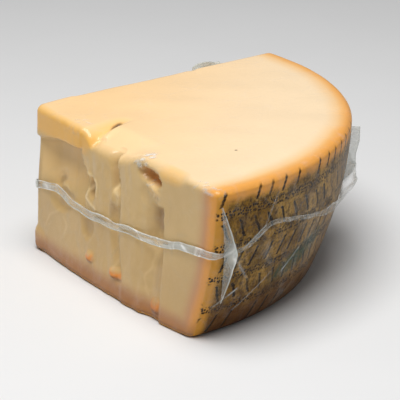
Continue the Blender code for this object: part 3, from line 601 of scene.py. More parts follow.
def chunk_points(steps, film=False):
    """Rings of the whole chunk from the edge of the foot to the middle of the top."""
    outline = Outline(steps)
    rounded, top = top_edges(outline)
    lift = SKIN_GAP if film else 0
    rings = []
    for step in range(steps["round"] + 1):
        turn = step / steps["round"] * math.pi / 2
        z = FOOT_ROUND * (1 - math.cos(turn))
        rings.append(outline.ring(z, FOOT_ROUND * (1 - math.sin(turn)), film))
    for step in range(1, steps["upright"] + 1):
        z = FOOT_ROUND + (top - rounded - FOOT_ROUND) * step / steps["upright"]
        rings.append(outline.ring(z, 0, film))
    for step in range(1, steps["round"] + 1):
        turn = step / steps["round"] * math.pi / 2
        z = top - rounded * (1 - math.sin(turn))
        ring = outline.ring(z, rounded * (1 - math.cos(turn)), film)
        ring[:, 2] += lift * math.sin(turn)
        rings.append(ring)
    middle = np.array([RING_MIDDLE, 0, 0])
    lid = []
    for step in range(1, steps["top"] + 1):
        ring = rings[-1] + (middle - rings[-1]) * (step / steps["top"]) ** 1.4
        ring[:, 2] = HEIGHT + lift + top_relief(ring[:, :2] @ FRONT_ALONG, -(ring[:, :2] @ FRONT_OUT))
        lid.append(ring)
    lid_share = np.zeros(len(rings) + len(lid) - 1)
    first = len(rings) - steps["round"]
    lid_share[first:len(rings)] = np.linspace(0.1, 0.9, steps["round"])
    lid_share[len(rings):] = 1
    lid_mask = np.append(np.repeat(lid_share, outline.columns), [0, 1])
    return rings + lid[:-1], middle, lid[-1][0], lid_mask


def make_object(name, points, faces, finish):
    mesh = bpy.data.meshes.new(name)
    mesh.from_pydata((np.asarray(points) + [TIP_X, 0, 0]).tolist(), [], faces)
    mesh.validate()
    mesh.shade_smooth()
    mesh.materials.append(finish)
    thing = bpy.data.objects.new(name, mesh)
    bpy.context.scene.collection.objects.link(thing)
    return thing


def paint(thing, name, values):
    """Stores one number for each point of the mesh, for the finish to read."""
    layer = thing.data.attributes.new(name, "FLOAT", "POINT")
    layer.data.foreach_set("value", np.asarray(values, np.float32))


def closed_rings(rings, foot_middle, top_middle):
    columns = len(rings[0])
    points = np.concatenate(rings + [foot_middle[None], top_middle[None]])
    faces = []
    for row in range(len(rings) - 1):
        low, high = row * columns, (row + 1) * columns
        for column in range(columns):
            after = (column + 1) % columns
            faces.append((low + column, low + after, high + after, high + column))
    first, last = len(points) - 2, (len(rings) - 1) * columns
    for column in range(columns):
        after = (column + 1) % columns
        faces.append((first, after, column))
        faces.append((first + 1, last + column, last + after))
    return points, faces


def slab(inner, outer):
    """Closed solid between two grids of points of the same size."""
    rows, columns, _ = inner.shape
    points = np.concatenate([inner.reshape(-1, 3), outer.reshape(-1, 3)])
    second = rows * columns
    faces = []
    for r in range(rows - 1):
        for c in range(columns - 1):
            a, b = r * columns + c, r * columns + c + 1
            d, e = a + columns, b + columns
            faces.append((a, d, e, b))
            faces.append((second + a, second + b, second + e, second + d))
    border = [(0, c) for c in range(columns - 1)]
    border += [(r, columns - 1) for r in range(rows - 1)]
    border += [(rows - 1, c) for c in range(columns - 1, 0, -1)]
    border += [(r, 0) for r in range(rows - 1, 0, -1)]
    for here, after in zip(border, border[1:] + border[:1]):
        a, b = here[0] * columns + here[1], after[0] * columns + after[1]
        faces.append((a, b, second + b, second + a))
    return points, faces


def linear(*srgb):
    """Linear colour from sRGB numbers of 0 to 255."""
    values = np.array(srgb) / 255
    return tuple(np.where(values <= 0.04045, values / 12.92, ((values + 0.055) / 1.055) ** 2.4))


class Tree:
    """Short ways to add and link shader nodes."""

    def __init__(self, tree):
        self.tree = tree

    def add(self, kind, inputs=None, **settings):
        node = self.tree.nodes.new(kind)
        for key, value in settings.items():
            setattr(node, key, value)
        for key, value in (inputs or {}).items():
            self.put(node.inputs[key], value)
        return node

    def put(self, socket, value):
        if isinstance(value, bpy.types.NodeSocket):
            self.tree.links.new(value, socket)
        elif hasattr(socket.default_value, "__len__") and len(socket.default_value) == 4:
            socket.default_value = (*value[:3], 1)
        else:
            socket.default_value = value

    def math(self, operation, *values, clamp=False):
        node = self.add("ShaderNodeMath", operation=operation, use_clamp=clamp)
        for socket, value in zip(node.inputs, values):
            self.put(socket, value)
        return node.outputs[0]

    def length(self, a, b):
        squares = self.math("ADD", self.math("MULTIPLY", a, a), self.math("MULTIPLY", b, b))
        return self.math("SQRT", squares)

    def mix(self, factor, first, second):
        node = self.add("ShaderNodeMix", data_type="RGBA")
        self.put(node.inputs[0], factor)
        self.put(node.inputs[6], first)
        self.put(node.inputs[7], second)
        return node.outputs[2]

    def fit(self, value, low, high, to_low=0.0, to_high=1.0):
        """A smooth step between two values."""
        inputs = {0: value, 1: low, 2: high, 3: to_low, 4: to_high}
        return self.add("ShaderNodeMapRange", inputs, interpolation_type="SMOOTHSTEP").outputs[0]

    def wander(self, distance, noise, reach):
        """A distance whose edge wanders with a noise."""
        return self.math("MULTIPLY_ADD", self.math("SUBTRACT", noise, 0.5), reach, distance)

    def attribute(self, name):
        return self.add("ShaderNodeAttribute", attribute_name=name).outputs["Fac"]

    def place(self):
        return self.add("ShaderNodeTexCoord").outputs["Object"]

    def noise(self, vector, scale, detail=3.0, roughness=0.5):
        inputs = {"Vector": vector, "Scale": scale, "Detail": detail, "Roughness": roughness}
        return self.add("ShaderNodeTexNoise", inputs).outputs["Fac"]

    def group(self, group, **values):
        node = self.add("ShaderNodeGroup", node_tree=group)
        for key, value in values.items():
            self.put(node.inputs[key], value)
        return node


def new_group(name, inputs, outputs):
    """An empty node group with named sockets, and its in and out nodes."""
    group = bpy.data.node_groups.new(name, "ShaderNodeTree")
    for label, kind, default in inputs:
        socket = group.interface.new_socket(label, in_out="INPUT", socket_type=kind)
        if default is not None:
            socket.default_value = default
    for label, kind in outputs:
        group.interface.new_socket(label, in_out="OUTPUT", socket_type=kind)
    tree = Tree(group)
    return group, tree, tree.add("NodeGroupInput"), tree.add("NodeGroupOutput")


def crinkle_group():
    """Crumpled film: a height for the bump and a mask of whitish folds."""
    if "crinkle" in bpy.data.node_groups:
        return bpy.data.node_groups["crinkle"]
    number, vector = "NodeSocketFloat", "NodeSocketVector"
    inputs = (("Vector", vector, None), ("Scale", number, 100.0), ("Sharpness", number, 0.5))
    group, tree, start, end = new_group("crinkle", inputs, (("Height", number), ("Folds", number)))
    bend = tree.add("ShaderNodeTexNoise", {"Vector": start.outputs["Vector"], "Scale": 60.0})
    shifted = tree.add("ShaderNodeVectorMath", operation="MULTIPLY_ADD")
    tree.put(shifted.inputs[0], bend.outputs["Color"])
    tree.put(shifted.inputs[1], (0.006, 0.006, 0.006))
    tree.put(shifted.inputs[2], start.outputs["Vector"])
    cells = tree.add(
        "ShaderNodeTexVoronoi",
        {"Vector": shifted.outputs[0], "Scale": start.outputs["Scale"]},
        feature="DISTANCE_TO_EDGE",
    )
    edge = tree.fit(cells.outputs["Distance"], 0.0, 0.12, 1.0, 0.0)
    wide = tree.noise(shifted.outputs[0], start.outputs["Scale"], 4.0, 0.6)
    height = tree.math("ADD", tree.math("MULTIPLY", edge, start.outputs["Sharpness"]), wide)
    tree.put(end.inputs["Height"], height)
    tree.put(end.inputs["Folds"], tree.math("MULTIPLY", edge, tree.fit(wide, 0.4, 0.62)))
    return group


def marks_group():
    """Dotted marks of the rind: leaning strokes of dots between bands of scattered small dots."""
    if "rind_marks" in bpy.data.node_groups:
        return bpy.data.node_groups["rind_marks"]
    number = "NodeSocketFloat"
    inputs = (
        ("Along", number, 0.0),
        ("Up", number, 0.0),
        ("Row Height", number, 22.0),
        ("Stroke Pitch", number, 13.0),
        ("Dot Size", number, 1.25),
    )
    group, tree, start, end = new_group("rind_marks", inputs, (("Strokes", number), ("Dots", number)))
    along = tree.math("MULTIPLY", start.outputs["Along"], 1000.0)
    up = tree.math("MULTIPLY_ADD", start.outputs["Up"], 1000.0, MARKS_RISE)
    flat = tree.add("ShaderNodeCombineXYZ", {0: along, 1: up}).outputs[0]
    wobble = tree.math("SUBTRACT", tree.noise(flat, 0.09, 2.0), 0.5)
    up = tree.math("MULTIPLY_ADD", wobble, 4.0, up)
    along = tree.math("MULTIPLY_ADD", wobble, 3.0, along)
    row = tree.math("DIVIDE", up, start.outputs["Row Height"])
    in_row = tree.math("FRACT", row)
    row_number = tree.math("FLOOR", row)
    lean = tree.math("MULTIPLY_ADD", tree.math("FLOORED_MODULO", row_number, 2.0), 0.9, -0.45)
    slant = tree.math("ADD", tree.math("MULTIPLY", lean, up), along)
    slant = tree.math("MULTIPLY_ADD", row_number, 4.7, slant)
    cell = tree.math("DIVIDE", slant, start.outputs["Stroke Pitch"])
    chance = tree.add("ShaderNodeTexWhiteNoise", noise_dimensions="2D")
    cell_place = tree.add("ShaderNodeCombineXYZ", {0: tree.math("FLOOR", cell), 1: row_number})
    tree.put(chance.inputs["Vector"], cell_place.outputs[0])
    middle = tree.math("MULTIPLY_ADD", chance.outputs["Value"], 0.24, 0.38)
    off = tree.math("SUBTRACT", tree.math("FRACT", cell), middle)
    off = tree.math("MULTIPLY", off, start.outputs["Stroke Pitch"])
    step = tree.math("SUBTRACT", tree.math("FRACT", tree.math("DIVIDE", up, DOT_STEP)), 0.5)
    step = tree.math("MULTIPLY", step, DOT_STEP)
    distance = tree.length(off, step)
    size = start.outputs["Dot Size"]
    dot = tree.fit(distance, tree.math("MULTIPLY", size, 0.75), tree.math("MULTIPLY", size, 1.3), 1.0, 0.0)
    smear = tree.fit(tree.math("ABSOLUTE", off), 0.7, 1.3, 0.9, 0.0)
    present = tree.math("GREATER_THAN", chance.outputs["Value"], 0.12)
    stroke = tree.math("MULTIPLY", tree.math("MAXIMUM", dot, smear), present)
    in_band = tree.math("MULTIPLY", tree.fit(in_row, 0.36, 0.40), tree.fit(in_row, 0.90, 0.94, 1.0, 0.0))
    tree.put(end.inputs["Strokes"], tree.math("MULTIPLY", stroke, in_band))
    scattered = tree.add(
        "ShaderNodeTexVoronoi",
        {"Vector": flat, "Scale": 1 / SPECK_CELL, "Randomness": 0.8},
        voronoi_dimensions="2D",
        feature="F1",
    )
    speck = tree.fit(scattered.outputs["Distance"], 0.28, 0.44, 1.0, 0.0)
    gap = tree.fit(tree.noise(flat, 0.05, 1.0), 0.30, 0.38)
    in_strip = tree.math("MULTIPLY", tree.fit(in_row, 0.03, 0.06), tree.fit(in_row, 0.27, 0.31, 1.0, 0.0))
    tree.put(end.inputs["Dots"], tree.math("MULTIPLY", tree.math("MULTIPLY", speck, in_strip), gap))
    return group


def start_material(name):
    if name in bpy.data.materials:
        bpy.data.materials.remove(bpy.data.materials[name])
    made = bpy.data.materials.new(name)
    made.use_nodes = True
    return made, Tree(made.node_tree), made.node_tree.nodes["Principled BSDF"]


def cheese_finish(look):
    """Waxy paste, its orange margin and the brown dotted rind, glossy under the film, with light and shade
    painted on the broken faces and by the crack.
    """
    made, tree, shader = start_material("cheese_paste_and_rind")
    place = tree.place()
    rind = tree.attribute("rind")
    inwards = tree.attribute("from_rind")
    up = tree.attribute("up")
    warm = tree.attribute("warm")
    hollow = tree.attribute("hollow")
    lid = tree.attribute("lid")

    cloud = tree.noise(place, 26.0, 4.0, 0.55)
    grain = tree.noise(place, 420.0, 3.0, 0.6)
    paste = tree.mix(tree.fit(cloud, 0.3, 0.7), look.paste, look.paste_deep)
    # Painted light: paler paste over the shaded recess under the lip, and a painted highlight on the shelf
    # under the pocket
    paste = tree.mix(tree.math("MULTIPLY", tree.attribute("pale"), 0.8), paste, look.pale)
    # Painted shade: darker paste in the grooves and hollows and over the lower front
    paste = tree.mix(tree.attribute("shade"), paste, look.shade)
    # Painted highlight along the thin crests
    paste = tree.mix(tree.math("MULTIPLY", tree.attribute("crest_highlight"), 0.7), paste, look.crest_highlight)
    way_back = tree.add("ShaderNodeSeparateXYZ", {0: place}).outputs[0]
    top = tree.mix(tree.fit(way_back, -0.08, 0.07), look.paste_top, look.paste_top_far)
    paste = tree.mix(tree.math("MULTIPLY", lid, 0.9), paste, top)
    paste = tree.mix(tree.fit(grain, 0.55, 0.8, 0.0, 0.16), paste, look.paste_light)
    edge = tree.wander(inwards, cloud, MARGIN_WANDER)
    blush = tree.fit(edge, *BLUSH, 1.0, 0.0)
    side_blush = tree.math("MULTIPLY_ADD", lid, -0.15, 0.95)
    blush_colour = tree.mix(lid, look.margin_pink, look.rim_gold)
    paste = tree.mix(tree.math("MULTIPLY", blush, side_blush), paste, blush_colour)
    margin = tree.fit(edge, *ORANGE_MARGIN, 1.0, 0.0)
    paste = tree.mix(tree.math("MULTIPLY", margin, 0.9), paste, look.margin_orange)
    # Orange of the lip, with painted shade along the crack, on the cliff at the lip's end and on a facet
    # of the chipped edge
    paste = tree.mix(tree.math("MULTIPLY", warm, 0.9), paste, look.warm)
    # Painted shade: brown inside the deep pockets
    paste = tree.mix(tree.math("MULTIPLY", hollow, 0.8), paste, look.hollow)
    # Orange lumps, left paler on top as painted light
    paste = tree.mix(tree.attribute("lumps"), paste, look.lumps)
    # Painted shade: darker brown towards the foot and along the lowest edge
    foot_shade = tree.fit(tree.wander(up, cloud, FOOT_WANDER), *FOOT_SHADE, 0.62, 0.0)
    paste = tree.mix(foot_shade, paste, look.foot_shade_brown)
    paste = tree.mix(tree.fit(up, *FOOT_EDGE, 0.8, 0.0), paste, look.foot_shade_brown)
    fleck = tree.add("ShaderNodeVectorMath", {0: place, 1: FLECK_PLACE}, operation="DISTANCE")
    paste = tree.mix(tree.fit(fleck.outputs["Value"], *FLECK_SIZE, 0.8, 0.0), paste, look.dark)
    # Painted shade: dark in the crack's eye, deep in the pocket and under the lumps
    paste = tree.mix(tree.attribute("dark"), paste, look.dark)

    along = tree.attribute("along")
    marks = tree.group(marks_group(), Along=along, Up=up)
    patch = tree.noise(place, 34.0, 5.0, 0.65)
    fine = tree.noise(place, 240.0, 4.0, 0.7)
    ground = tree.mix(tree.fit(patch, 0.35, 0.68), look.rind, look.rind_light)
    ground = tree.mix(tree.fit(fine, 0.46, 0.64, 0.0, 0.7), ground, look.rind_dark)
    blotch = tree.noise(place, 80.0, 5.0, 0.7)
    ground = tree.mix(tree.fit(blotch, 0.46, 0.60, 0.0, 0.5), ground, look.rind_dark)
    pepper = tree.noise(place, 620.0, 2.0, 0.6)
    ground = tree.mix(tree.fit(pepper, 0.50, 0.62, 0.0, 0.6), ground, look.rind_dark)
    # Darker and redder towards the rind's foot: partly its own colour, partly painted shade
    low = tree.fit(up, *LOW_RIND, 1.0, 0.0)
    ground = tree.mix(tree.math("MULTIPLY", low, 0.8), ground, look.rind_low)
    rim = tree.fit(tree.wander(up, patch, RIM_WANDER), *RIND_RIM)
    ground = tree.mix(rim, ground, look.margin_orange)
    beside = tree.attribute("beside_corner")
    ground = tree.mix(tree.math("MULTIPLY", beside, 0.85), ground, look.strip)
    stain = tree.attribute("stain")
    ground = tree.mix(tree.math("MULTIPLY", stain, tree.fit(fine, 0.4, 0.6, 0.5, 1.0)), ground, look.stain)
    wear = tree.fit(tree.noise(place, 55.0, 3.0, 0.6), 0.34, 0.52, 0.68, 1.0)
    printed = tree.math("MAXIMUM", marks.outputs["Strokes"], marks.outputs["Dots"])
    printed = tree.math("MULTIPLY", printed, wear)
    ground = tree.mix(tree.math("MULTIPLY", printed, 0.97), ground, look.marks)

    colour = tree.mix(rind, paste, ground)
    tree.put(shader.inputs["Base Color"], colour)
    rough = tree.math("MULTIPLY_ADD", cloud, 0.16, 0.36)
    tree.put(shader.inputs["Roughness"], rough)
    shader.inputs["IOR"].default_value = 1.45
    shader.inputs["Coat Roughness"].default_value = 0.16
    shader.inputs["Specular IOR Level"].default_value = 0.16
    coat = tree.fit(cloud, 0.3, 0.7, 0.35, 0.6)
    less = tree.math("MULTIPLY", rind, coat)
    tree.put(shader.inputs["Coat Weight"], tree.math("MULTIPLY_ADD", less, -0.92, coat))
    crinkle = tree.group(crinkle_group(), Vector=place, Scale=70.0, Sharpness=0.25)
    pits = tree.math("MULTIPLY", printed, tree.math("MULTIPLY", rind, -0.9))
    relief = tree.math("MULTIPLY_ADD", fine, tree.math("MULTIPLY_ADD", rind, 0.85, 0.16), pits)
    relief = tree.math("MULTIPLY_ADD", grain, 0.10, relief)
    film = tree.math("MULTIPLY", crinkle.outputs["Height"], tree.math("MULTIPLY_ADD", rind, 0.5, 0.12))
    relief = tree.math("ADD", relief, film)
    bump = tree.add("ShaderNodeBump", {"Height": relief, "Strength": 0.55, "Distance": 0.8 * MM})
    tree.put(shader.inputs["Normal"], bump.outputs[0])
    return made


def film_finish(name, look, haze, fold_haze, scale, shine=0.5):
    """Clear film, whitish where it is folded; the piece's own "fold" numbers add to that, and on the tight
    film they also hold painted highlights.
    """
    made, tree, shader = start_material(name)
    place = tree.place()
    fold = tree.attribute("fold")
    crinkle = tree.group(crinkle_group(), Vector=place, Scale=scale, Sharpness=0.6)
    veil = tree.math("MULTIPLY_ADD", fold, fold_haze, haze)
    lines = tree.math("MULTIPLY", crinkle.outputs["Folds"], tree.math("MULTIPLY_ADD", fold, 0.45, 0.05))
    alpha = tree.math("ADD", veil, lines, clamp=True)
    tree.put(shader.inputs["Alpha"], alpha)
    tint = tree.mix(crinkle.outputs["Folds"], look.film, look.film_fold)
    tree.put(shader.inputs["Base Color"], tint)
    tree.put(shader.inputs["Roughness"], tree.fit(crinkle.outputs["Height"], 0.2, 1.0, 0.12, 0.3))
    shader.inputs["IOR"].default_value = 1.5
    shader.inputs["Specular IOR Level"].default_value = shine
    relief = {"Height": crinkle.outputs["Height"], "Strength": 0.35, "Distance": 0.6 * MM}
    bump = tree.add("ShaderNodeBump", relief)
    tree.put(shader.inputs["Normal"], bump.outputs[0])
    made.surface_render_method = "BLENDED"
    return made


def plain_finish(name, colour, roughness):
    made, tree, shader = start_material(name)
    speck = tree.noise(tree.place(), 9.0, 2.0)
    shade = tree.mix(tree.fit(speck, 0.3, 0.7, 0.0, 0.03), colour, (0.5, 0.5, 0.5))
    tree.put(shader.inputs["Base Color"], shade)
    shader.inputs["Roughness"].default_value = roughness
    return made


def colour_prop(name, description, *srgb):
    return FloatVectorProperty(
        name=name, description=description, default=linear(*srgb), subtype="COLOR", size=3, min=0, max=1
    )


class CheeseLook(bpy.types.PropertyGroup):
    """Colours of the cheese and its film."""

    paste: colour_prop("Paste", "Colour of the broken paste", 221, 188, 131)
    paste_deep: colour_prop("Deep paste", "Its darker clouds", 213, 178, 118)
    paste_light: colour_prop("Light paste", "Its pale grains", 240, 216, 170)
    paste_top: colour_prop("Cut top", "Colour of the smooth cut top by the tip", 255, 214, 158)
    paste_top_far: colour_prop("Cut top, far", "Its paler colour towards the rind", 255, 228, 190)
    shade: colour_prop("Shaded paste", "Darker paste of the grooves", 184, 148, 100)
    # Painted highlight along the thin crests of the break
    crest_highlight: colour_prop("Crests", "Thin pale crests of the break", 253, 226, 172)
    rim_gold: colour_prop("Golden rim", "Border of the cut top", 246, 188, 108)
    # Painted light: paler paste over the shaded recess, and a painted highlight on the shelf under the
    # pocket
    pale: colour_prop("Fresh paste", "Paler paste of the fresh break", 244, 204, 140)
    margin_pink: colour_prop("Pink margin", "Paste that nears the rind", 202, 138, 92)
    margin_orange: colour_prop("Orange margin", "Outermost paste beside the rind", 238, 166, 76)
    # Orange of the lip, and painted shade along the crack, on the cliff at the lip's end and on a facet of
    # the chipped edge
    warm: colour_prop("Warm patch", "Oily orange patches in the paste", 255, 190, 78)
    # Orange of the lumps; their paler tops are painted light
    lumps: colour_prop("Lumps", "Small orange lumps near the foot", 236, 146, 56)
    # Painted shade inside the deep pockets
    hollow: colour_prop("Hollow", "Brown of the deep hollows", 236, 158, 80)
    rind: colour_prop("Rind", "Ground colour of the rind", 136, 97, 18)
    rind_light: colour_prop("Light rind", "Its lighter patches", 190, 148, 68)
    rind_dark: colour_prop("Dark rind", "Its dark grain", 60, 40, 14)
    # Partly the rind's own red-brown, partly painted shade towards its foot
    rind_low: colour_prop("Foot of the rind", "Red-brown near the foot", 98, 58, 26)
    strip: colour_prop("Corner strip", "Yellow rind beside the corners", 222, 158, 62)
    stain: colour_prop("Stain", "Faded green ink", 44, 70, 48)
    marks: colour_prop("Marks", "Dark dotted marks", 26, 16, 8)
    # The fleck's own colour, and painted shade in the crack's eye, the pocket and under the lumps
    dark: colour_prop("Dark", "Eye of the crack and undersides of the lumps", 84, 50, 24)
    # Painted shade towards the foot and along the lowest edge of the paste
    foot_shade_brown: colour_prop("Foot edge", "Dark brown of the lowest edge of the paste", 116, 68, 34)
    film: colour_prop("Film", "Tint of the clear film", 226, 230, 224)
    # Also the colour of the film's painted highlights
    film_fold: colour_prop("Film folds", "Its whitish folds", 253, 252, 248)


def thickness_prop(name, description, default):
    return FloatProperty(name=name, description=description, default=default, unit="LENGTH", precision=5)


class CheeseSizes(bpy.types.PropertyGroup):
    """Thicknesses of the film's pieces."""

    band_thickness: thickness_prop("Welded band", "Thickness of the band", BAND_THICKNESS)
    flap_thickness: thickness_prop("Corner flaps", "Thickness of the flaps", FLAP_THICKNESS)
    fin_thickness: thickness_prop("Fin", "Thickness of the fin", FIN_THICKNESS)
    tab_thickness: thickness_prop("Top fold", "Thickness of the fold on the top's edge", TAB_THICKNESS)


class CheeseStage(bpy.types.PropertyGroup):
    """Sizes of the stage, its light and the camera."""

    floor_size: FloatProperty(name="Floor", description="Side of the floor", default=60.0, unit="LENGTH")
    lens: FloatProperty(name="Lens", description="Focal length in millimetres", default=CAMERA_LENS)
    key_power: FloatProperty(name="Key light", description="Power of the light above", default=23.5)
    fill_power: FloatProperty(name="Fill light", description="Power of the light in front", default=0.5)
    sky: FloatProperty(name="Sky", description="Strength of the even light all round", default=0.17)


def finish_piece(thing, node):
    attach(thing, "root")
    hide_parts(node)


def chunk_masks(points, lid_mask):
    """The numbers that the cheese's finish reads, worked out from each point's place."""
    x, y, z = points.T
    radius = np.hypot(x, y)
    rim = rind_radius(np.clip(z, 0, HEIGHT))
    angle = np.arctan2(y, x)
    flat = points[:, :2]
    front_depth = -(flat @ FRONT_OUT)
    back_depth = -(flat @ BACK_OUT)
    cut_depth = np.minimum(front_depth, back_depth)
    side = rim - radius
    masks = {"from_rind": np.minimum(np.maximum(side, 0), z + 1.5 * MM)}
    on_side = ease(cut_depth - side, -0.5 * MM, 1.5 * MM)
    on_side *= 1 - ease(z, HEIGHT - 3 * MM, HEIGHT - 0.8 * MM)
    on_side *= 1 - ease(side, 5 * MM, 7 * MM) * ease(z, 6 * MM, 9 * MM)
    on_foot = 1 - ease(z, 0.8 * MM, 2.4 * MM)
    masks["rind"] = np.maximum(on_side * (1 - ease(side, 6 * MM, 9 * MM)), on_foot)
    masks["along"] = (angle + HALF_ANGLE) * WHEEL_RADIUS
    masks["up"] = z
    masks["lid"] = lid_mask
    corner = np.minimum(masks["along"], ARC - masks["along"])
    masks["beside_corner"] = 1 - ease(corner, 5 * MM, 12 * MM)
    s, run = flat @ FRONT_ALONG, flat @ BACK_ALONG
    on_front = 1 - ease(front_depth, 5 * MM, 9 * MM)
    on_back = 1 - ease(back_depth, 5 * MM, 9 * MM)
    # Orange of the lip, and painted shade along the crack in the top, on the cliff at the lip's end and on
    # a facet of the chipped edge
    crack_run, off, length = crack_place(s, front_depth)
    crack = (1 - ease(-off, 1 * MM, CRACK_WIDTH)) * (1 - ease(off, 0, 1 * MM))
    crack *= ease(crack_run, -6 * MM, 2 * MM) * (1 - ease(crack_run, length * 0.7, length * 1.05))
    warm = 0.6 * crack * masks["lid"]
    cliff = 0.8 * spot(s, z, 66 * MM, 93.5 * MM, 7 * MM, 5.5 * MM, 0)
    facet = 0.35 * spot(s, z, 162 * MM, 98 * MM, 15 * MM, 6 * MM, 0)
    lip = ease(z, 81.5 * MM, 88 * MM) * (1 - ease(s, 60 * MM, 72 * MM)) * (1 - masks["lid"])
    masks["warm"] = np.maximum(warm, np.maximum(np.maximum(cliff, facet), 0.8 * lip) * on_front)
    # Orange lumps, left paler on top as painted light, with painted shade under each
    lumps, under = np.zeros_like(z), np.zeros_like(z)
    for place in ("lump_left", "lump_middle", "lump_right"):
        at, height, half_width, half_height, _, lean = FRONT_SWELLINGS[place]
        whole = spot(s, z, at, height, half_width, half_height, lean)
        below = spot(s, z, at, height - 0.75 * half_height, half_width * 0.8, half_height * 0.4, lean)
        core = spot(s, z, at, height + 0.5 * half_height, half_width * 0.6, half_height * 0.5, lean)
        lumps = np.maximum(lumps, np.clip(whole - 0.75 * core, 0, 1) * on_front)
        under = np.maximum(under, 0.6 * below * on_front)
    masks["lumps"] = lumps
    # Painted shade: brown inside the deep pockets of the front and the back
    pocket = spot(s, z, 141 * MM, 92 * MM, 11.5 * MM, 4.6 * MM, -0.12) * on_front
    # Painted shade: dark in the crack's eye and deep in the pocket
    across = (s - CRACK_EYE[0]) + (front_depth - CRACK_EYE[1]) * CRACK_EYE_LEAN
    eye = 1 - ease(np.hypot(across, (front_depth - CRACK_EYE[1]) / CRACK_EYE_LONG), 1.5 * MM, 3.3 * MM)
    deep = 0.1 * spot(s, z, 134 * MM, 93 * MM, 7 * MM, 3 * MM, -0.12) * on_front
    masks["dark"] = np.maximum(np.maximum(under, deep), eye * masks["lid"])
    masks["hollow"] = np.maximum(pocket, spot(run, z, 92 * MM, 88 * MM, 9 * MM, 4 * MM, 0.3) * on_back)
    # Painted light: the shaded recess under the lip made paler, the tip's end a little paler, and a
    # painted highlight on the shelf under the pocket
    lit = spot(s, z, 34 * MM, 70 * MM, 38 * MM, 19 * MM, 0.1)
    lit = np.maximum(lit, 0.15 * (1 - ease(s, 60 * MM, 110 * MM)))
    lit = np.maximum(lit, spot(s, z, 145 * MM, 83 * MM, 8 * MM, 4 * MM, 0))
    masks["pale"] = lit * on_front * (1 - masks["lid"])
    # Painted shade: darker paste in the front's grooves and hollows and over its lower part; on the back,
    # darker patches at random
    shade = np.zeros_like(z)
    for at, height, half_width, half_height, lean, strength in SHADES:
        shade = np.maximum(shade, strength * spot(s, z, at, height, half_width, half_height, lean))
    shade = np.maximum(shade, 0.22 * (1 - ease(z, 34 * MM, 50 * MM)))
    hidden_shade = 0.5 * ease(soft_noise(run, z * 0.5, 13 * MM, 81), 0.05, 0.6)
    masks["shade"] = np.maximum(shade * on_front, hidden_shade * on_back) * (1 - masks["lid"])
    # Painted highlight along the thin crests
    masks["crest_highlight"] = crests(s, z) * on_front * (1 - masks["lid"])
    masks["stain"] = spot(masks["along"], z, 92 * MM, 36.5 * MM, 34 * MM, 9 * MM, 0.25)
    return masks


class CHEESE_OT_chunk(bpy.types.Operator):
    """Builds the broken wedge of cheese with its rind"""

    bl_idname = "cheese.chunk"
    bl_label = "Cheese wedge"

    def execute(self, context):
        rings, foot, top, lid_mask = chunk_points(FINE)
        points, faces = closed_rings(rings, foot, top)
        finish = cheese_finish(context.scene.cheese_look)
        thing = make_object("cheese_wedge", points, faces, finish)
        for name, values in chunk_masks(points, lid_mask).items():
            paint(thing, name, values)
        finish_piece(thing, "cheese_chunk")
        return {"FINISHED"}


class CHEESE_OT_skin(bpy.types.Operator):
    """Builds the tight clear film over the whole wedge"""

    bl_idname = "cheese.skin"
    bl_label = "Film over the wedge"

    def execute(self, context):
        rings, foot, top, _ = chunk_points(SKIN, film=True)
        points, faces = closed_rings(rings, foot, top)
        finish = film_finish("tight_film", context.scene.cheese_look, 0.004, 0.75, 60.0, shine=0.1)
        thing = make_object("film_skin", points, faces, finish)
        x, y, z = points.T
        along = (np.arctan2(y, x) + HALF_ANGLE) * WHEEL_RADIUS
        side = rind_radius(np.clip(z, 0, HEIGHT)) - np.hypot(x, y)
        on_rind = 1 - ease(side, 2 * MM, 6 * MM)
        fold = 0.07 * ease(soft_noise(along + 0.5 * z, z * 0.25, 7 * MM, 21), 0.1, 0.8)
        for (ax, ay), (bx, by), strength in CREASES:
            length = math.hypot(bx - ax, by - ay)
            run = ((along - ax) * (bx - ax) + (z - ay) * (by - ay)) / length
            off = ((along - ax) * (by - ay) - (z - ay) * (bx - ax)) / length
            line = (1 - ease(np.abs(off), 0, CREASE_WIDTH)) * between(run, 0, length, 2 * MM)
            fold = np.maximum(fold, strength * line)
        # The fold numbers also take the painted highlights of the glints
        fold = np.maximum(on_rind * fold, self.glints(points))
        paint(thing, "fold", fold)
        finish_piece(thing, "cheese_chunk")
        return {"FINISHED"}

    def glints(self, points):
        """Painted highlights of the film: small bright glints along the front's top edge and in its
        pockets.
        """
        flat = points[:, :2]
        s, depth, z = flat @ FRONT_ALONG, -(flat @ FRONT_OUT), points[:, 2]
        glint_breakup = ease(soft_noise(s, z + depth, 2.3 * MM, 61), 0.05, 0.5)
        total = np.zeros_like(z)
        for place, height, half_width, half_height, strength in GLINTS:
            near = spot(s, z - 0.5 * depth, place, height, half_width, half_height, 0)
            total = np.maximum(total, strength * near * glint_breakup)
        return total * (1 - ease(depth, 8 * MM, 14 * MM))


def course(way):
    """Height of the band's lower edge on a smooth closed curve through its course."""
    knots = np.array([knot[0] for knot in BAND_COURSE])
    heights = np.array([knot[1] for knot in BAND_COURSE])
    x = np.concatenate([knots[-2:] - ROUND_TRIP, knots, knots[:2] + ROUND_TRIP])
    y = np.concatenate([heights[-2:], heights, heights[:2]])
    slope = np.gradient(y, x)
    at = np.mod(way, ROUND_TRIP)
    i = np.clip(np.searchsorted(x, at, side="right") - 1, 0, len(x) - 2)
    span = x[i + 1] - x[i]
    t = (at - x[i]) / span
    start = (1 + 2 * t) * (1 - t) ** 2 * y[i] + t * (1 - t) ** 2 * span * slope[i]
    end = t * t * (3 - 2 * t) * y[i + 1] + t * t * (t - 1) * span * slope[i + 1]
    return start + end


def loose(way):
    """1 where the band stands off the rind, 0 where it lies flat."""
    share = (way - WHEEL_RADIUS) / ARC
    return ease(share, LOOSE_START, LOOSE_FULL) * (1 - ease(share, LOOSE_HOLD, LOOSE_END))


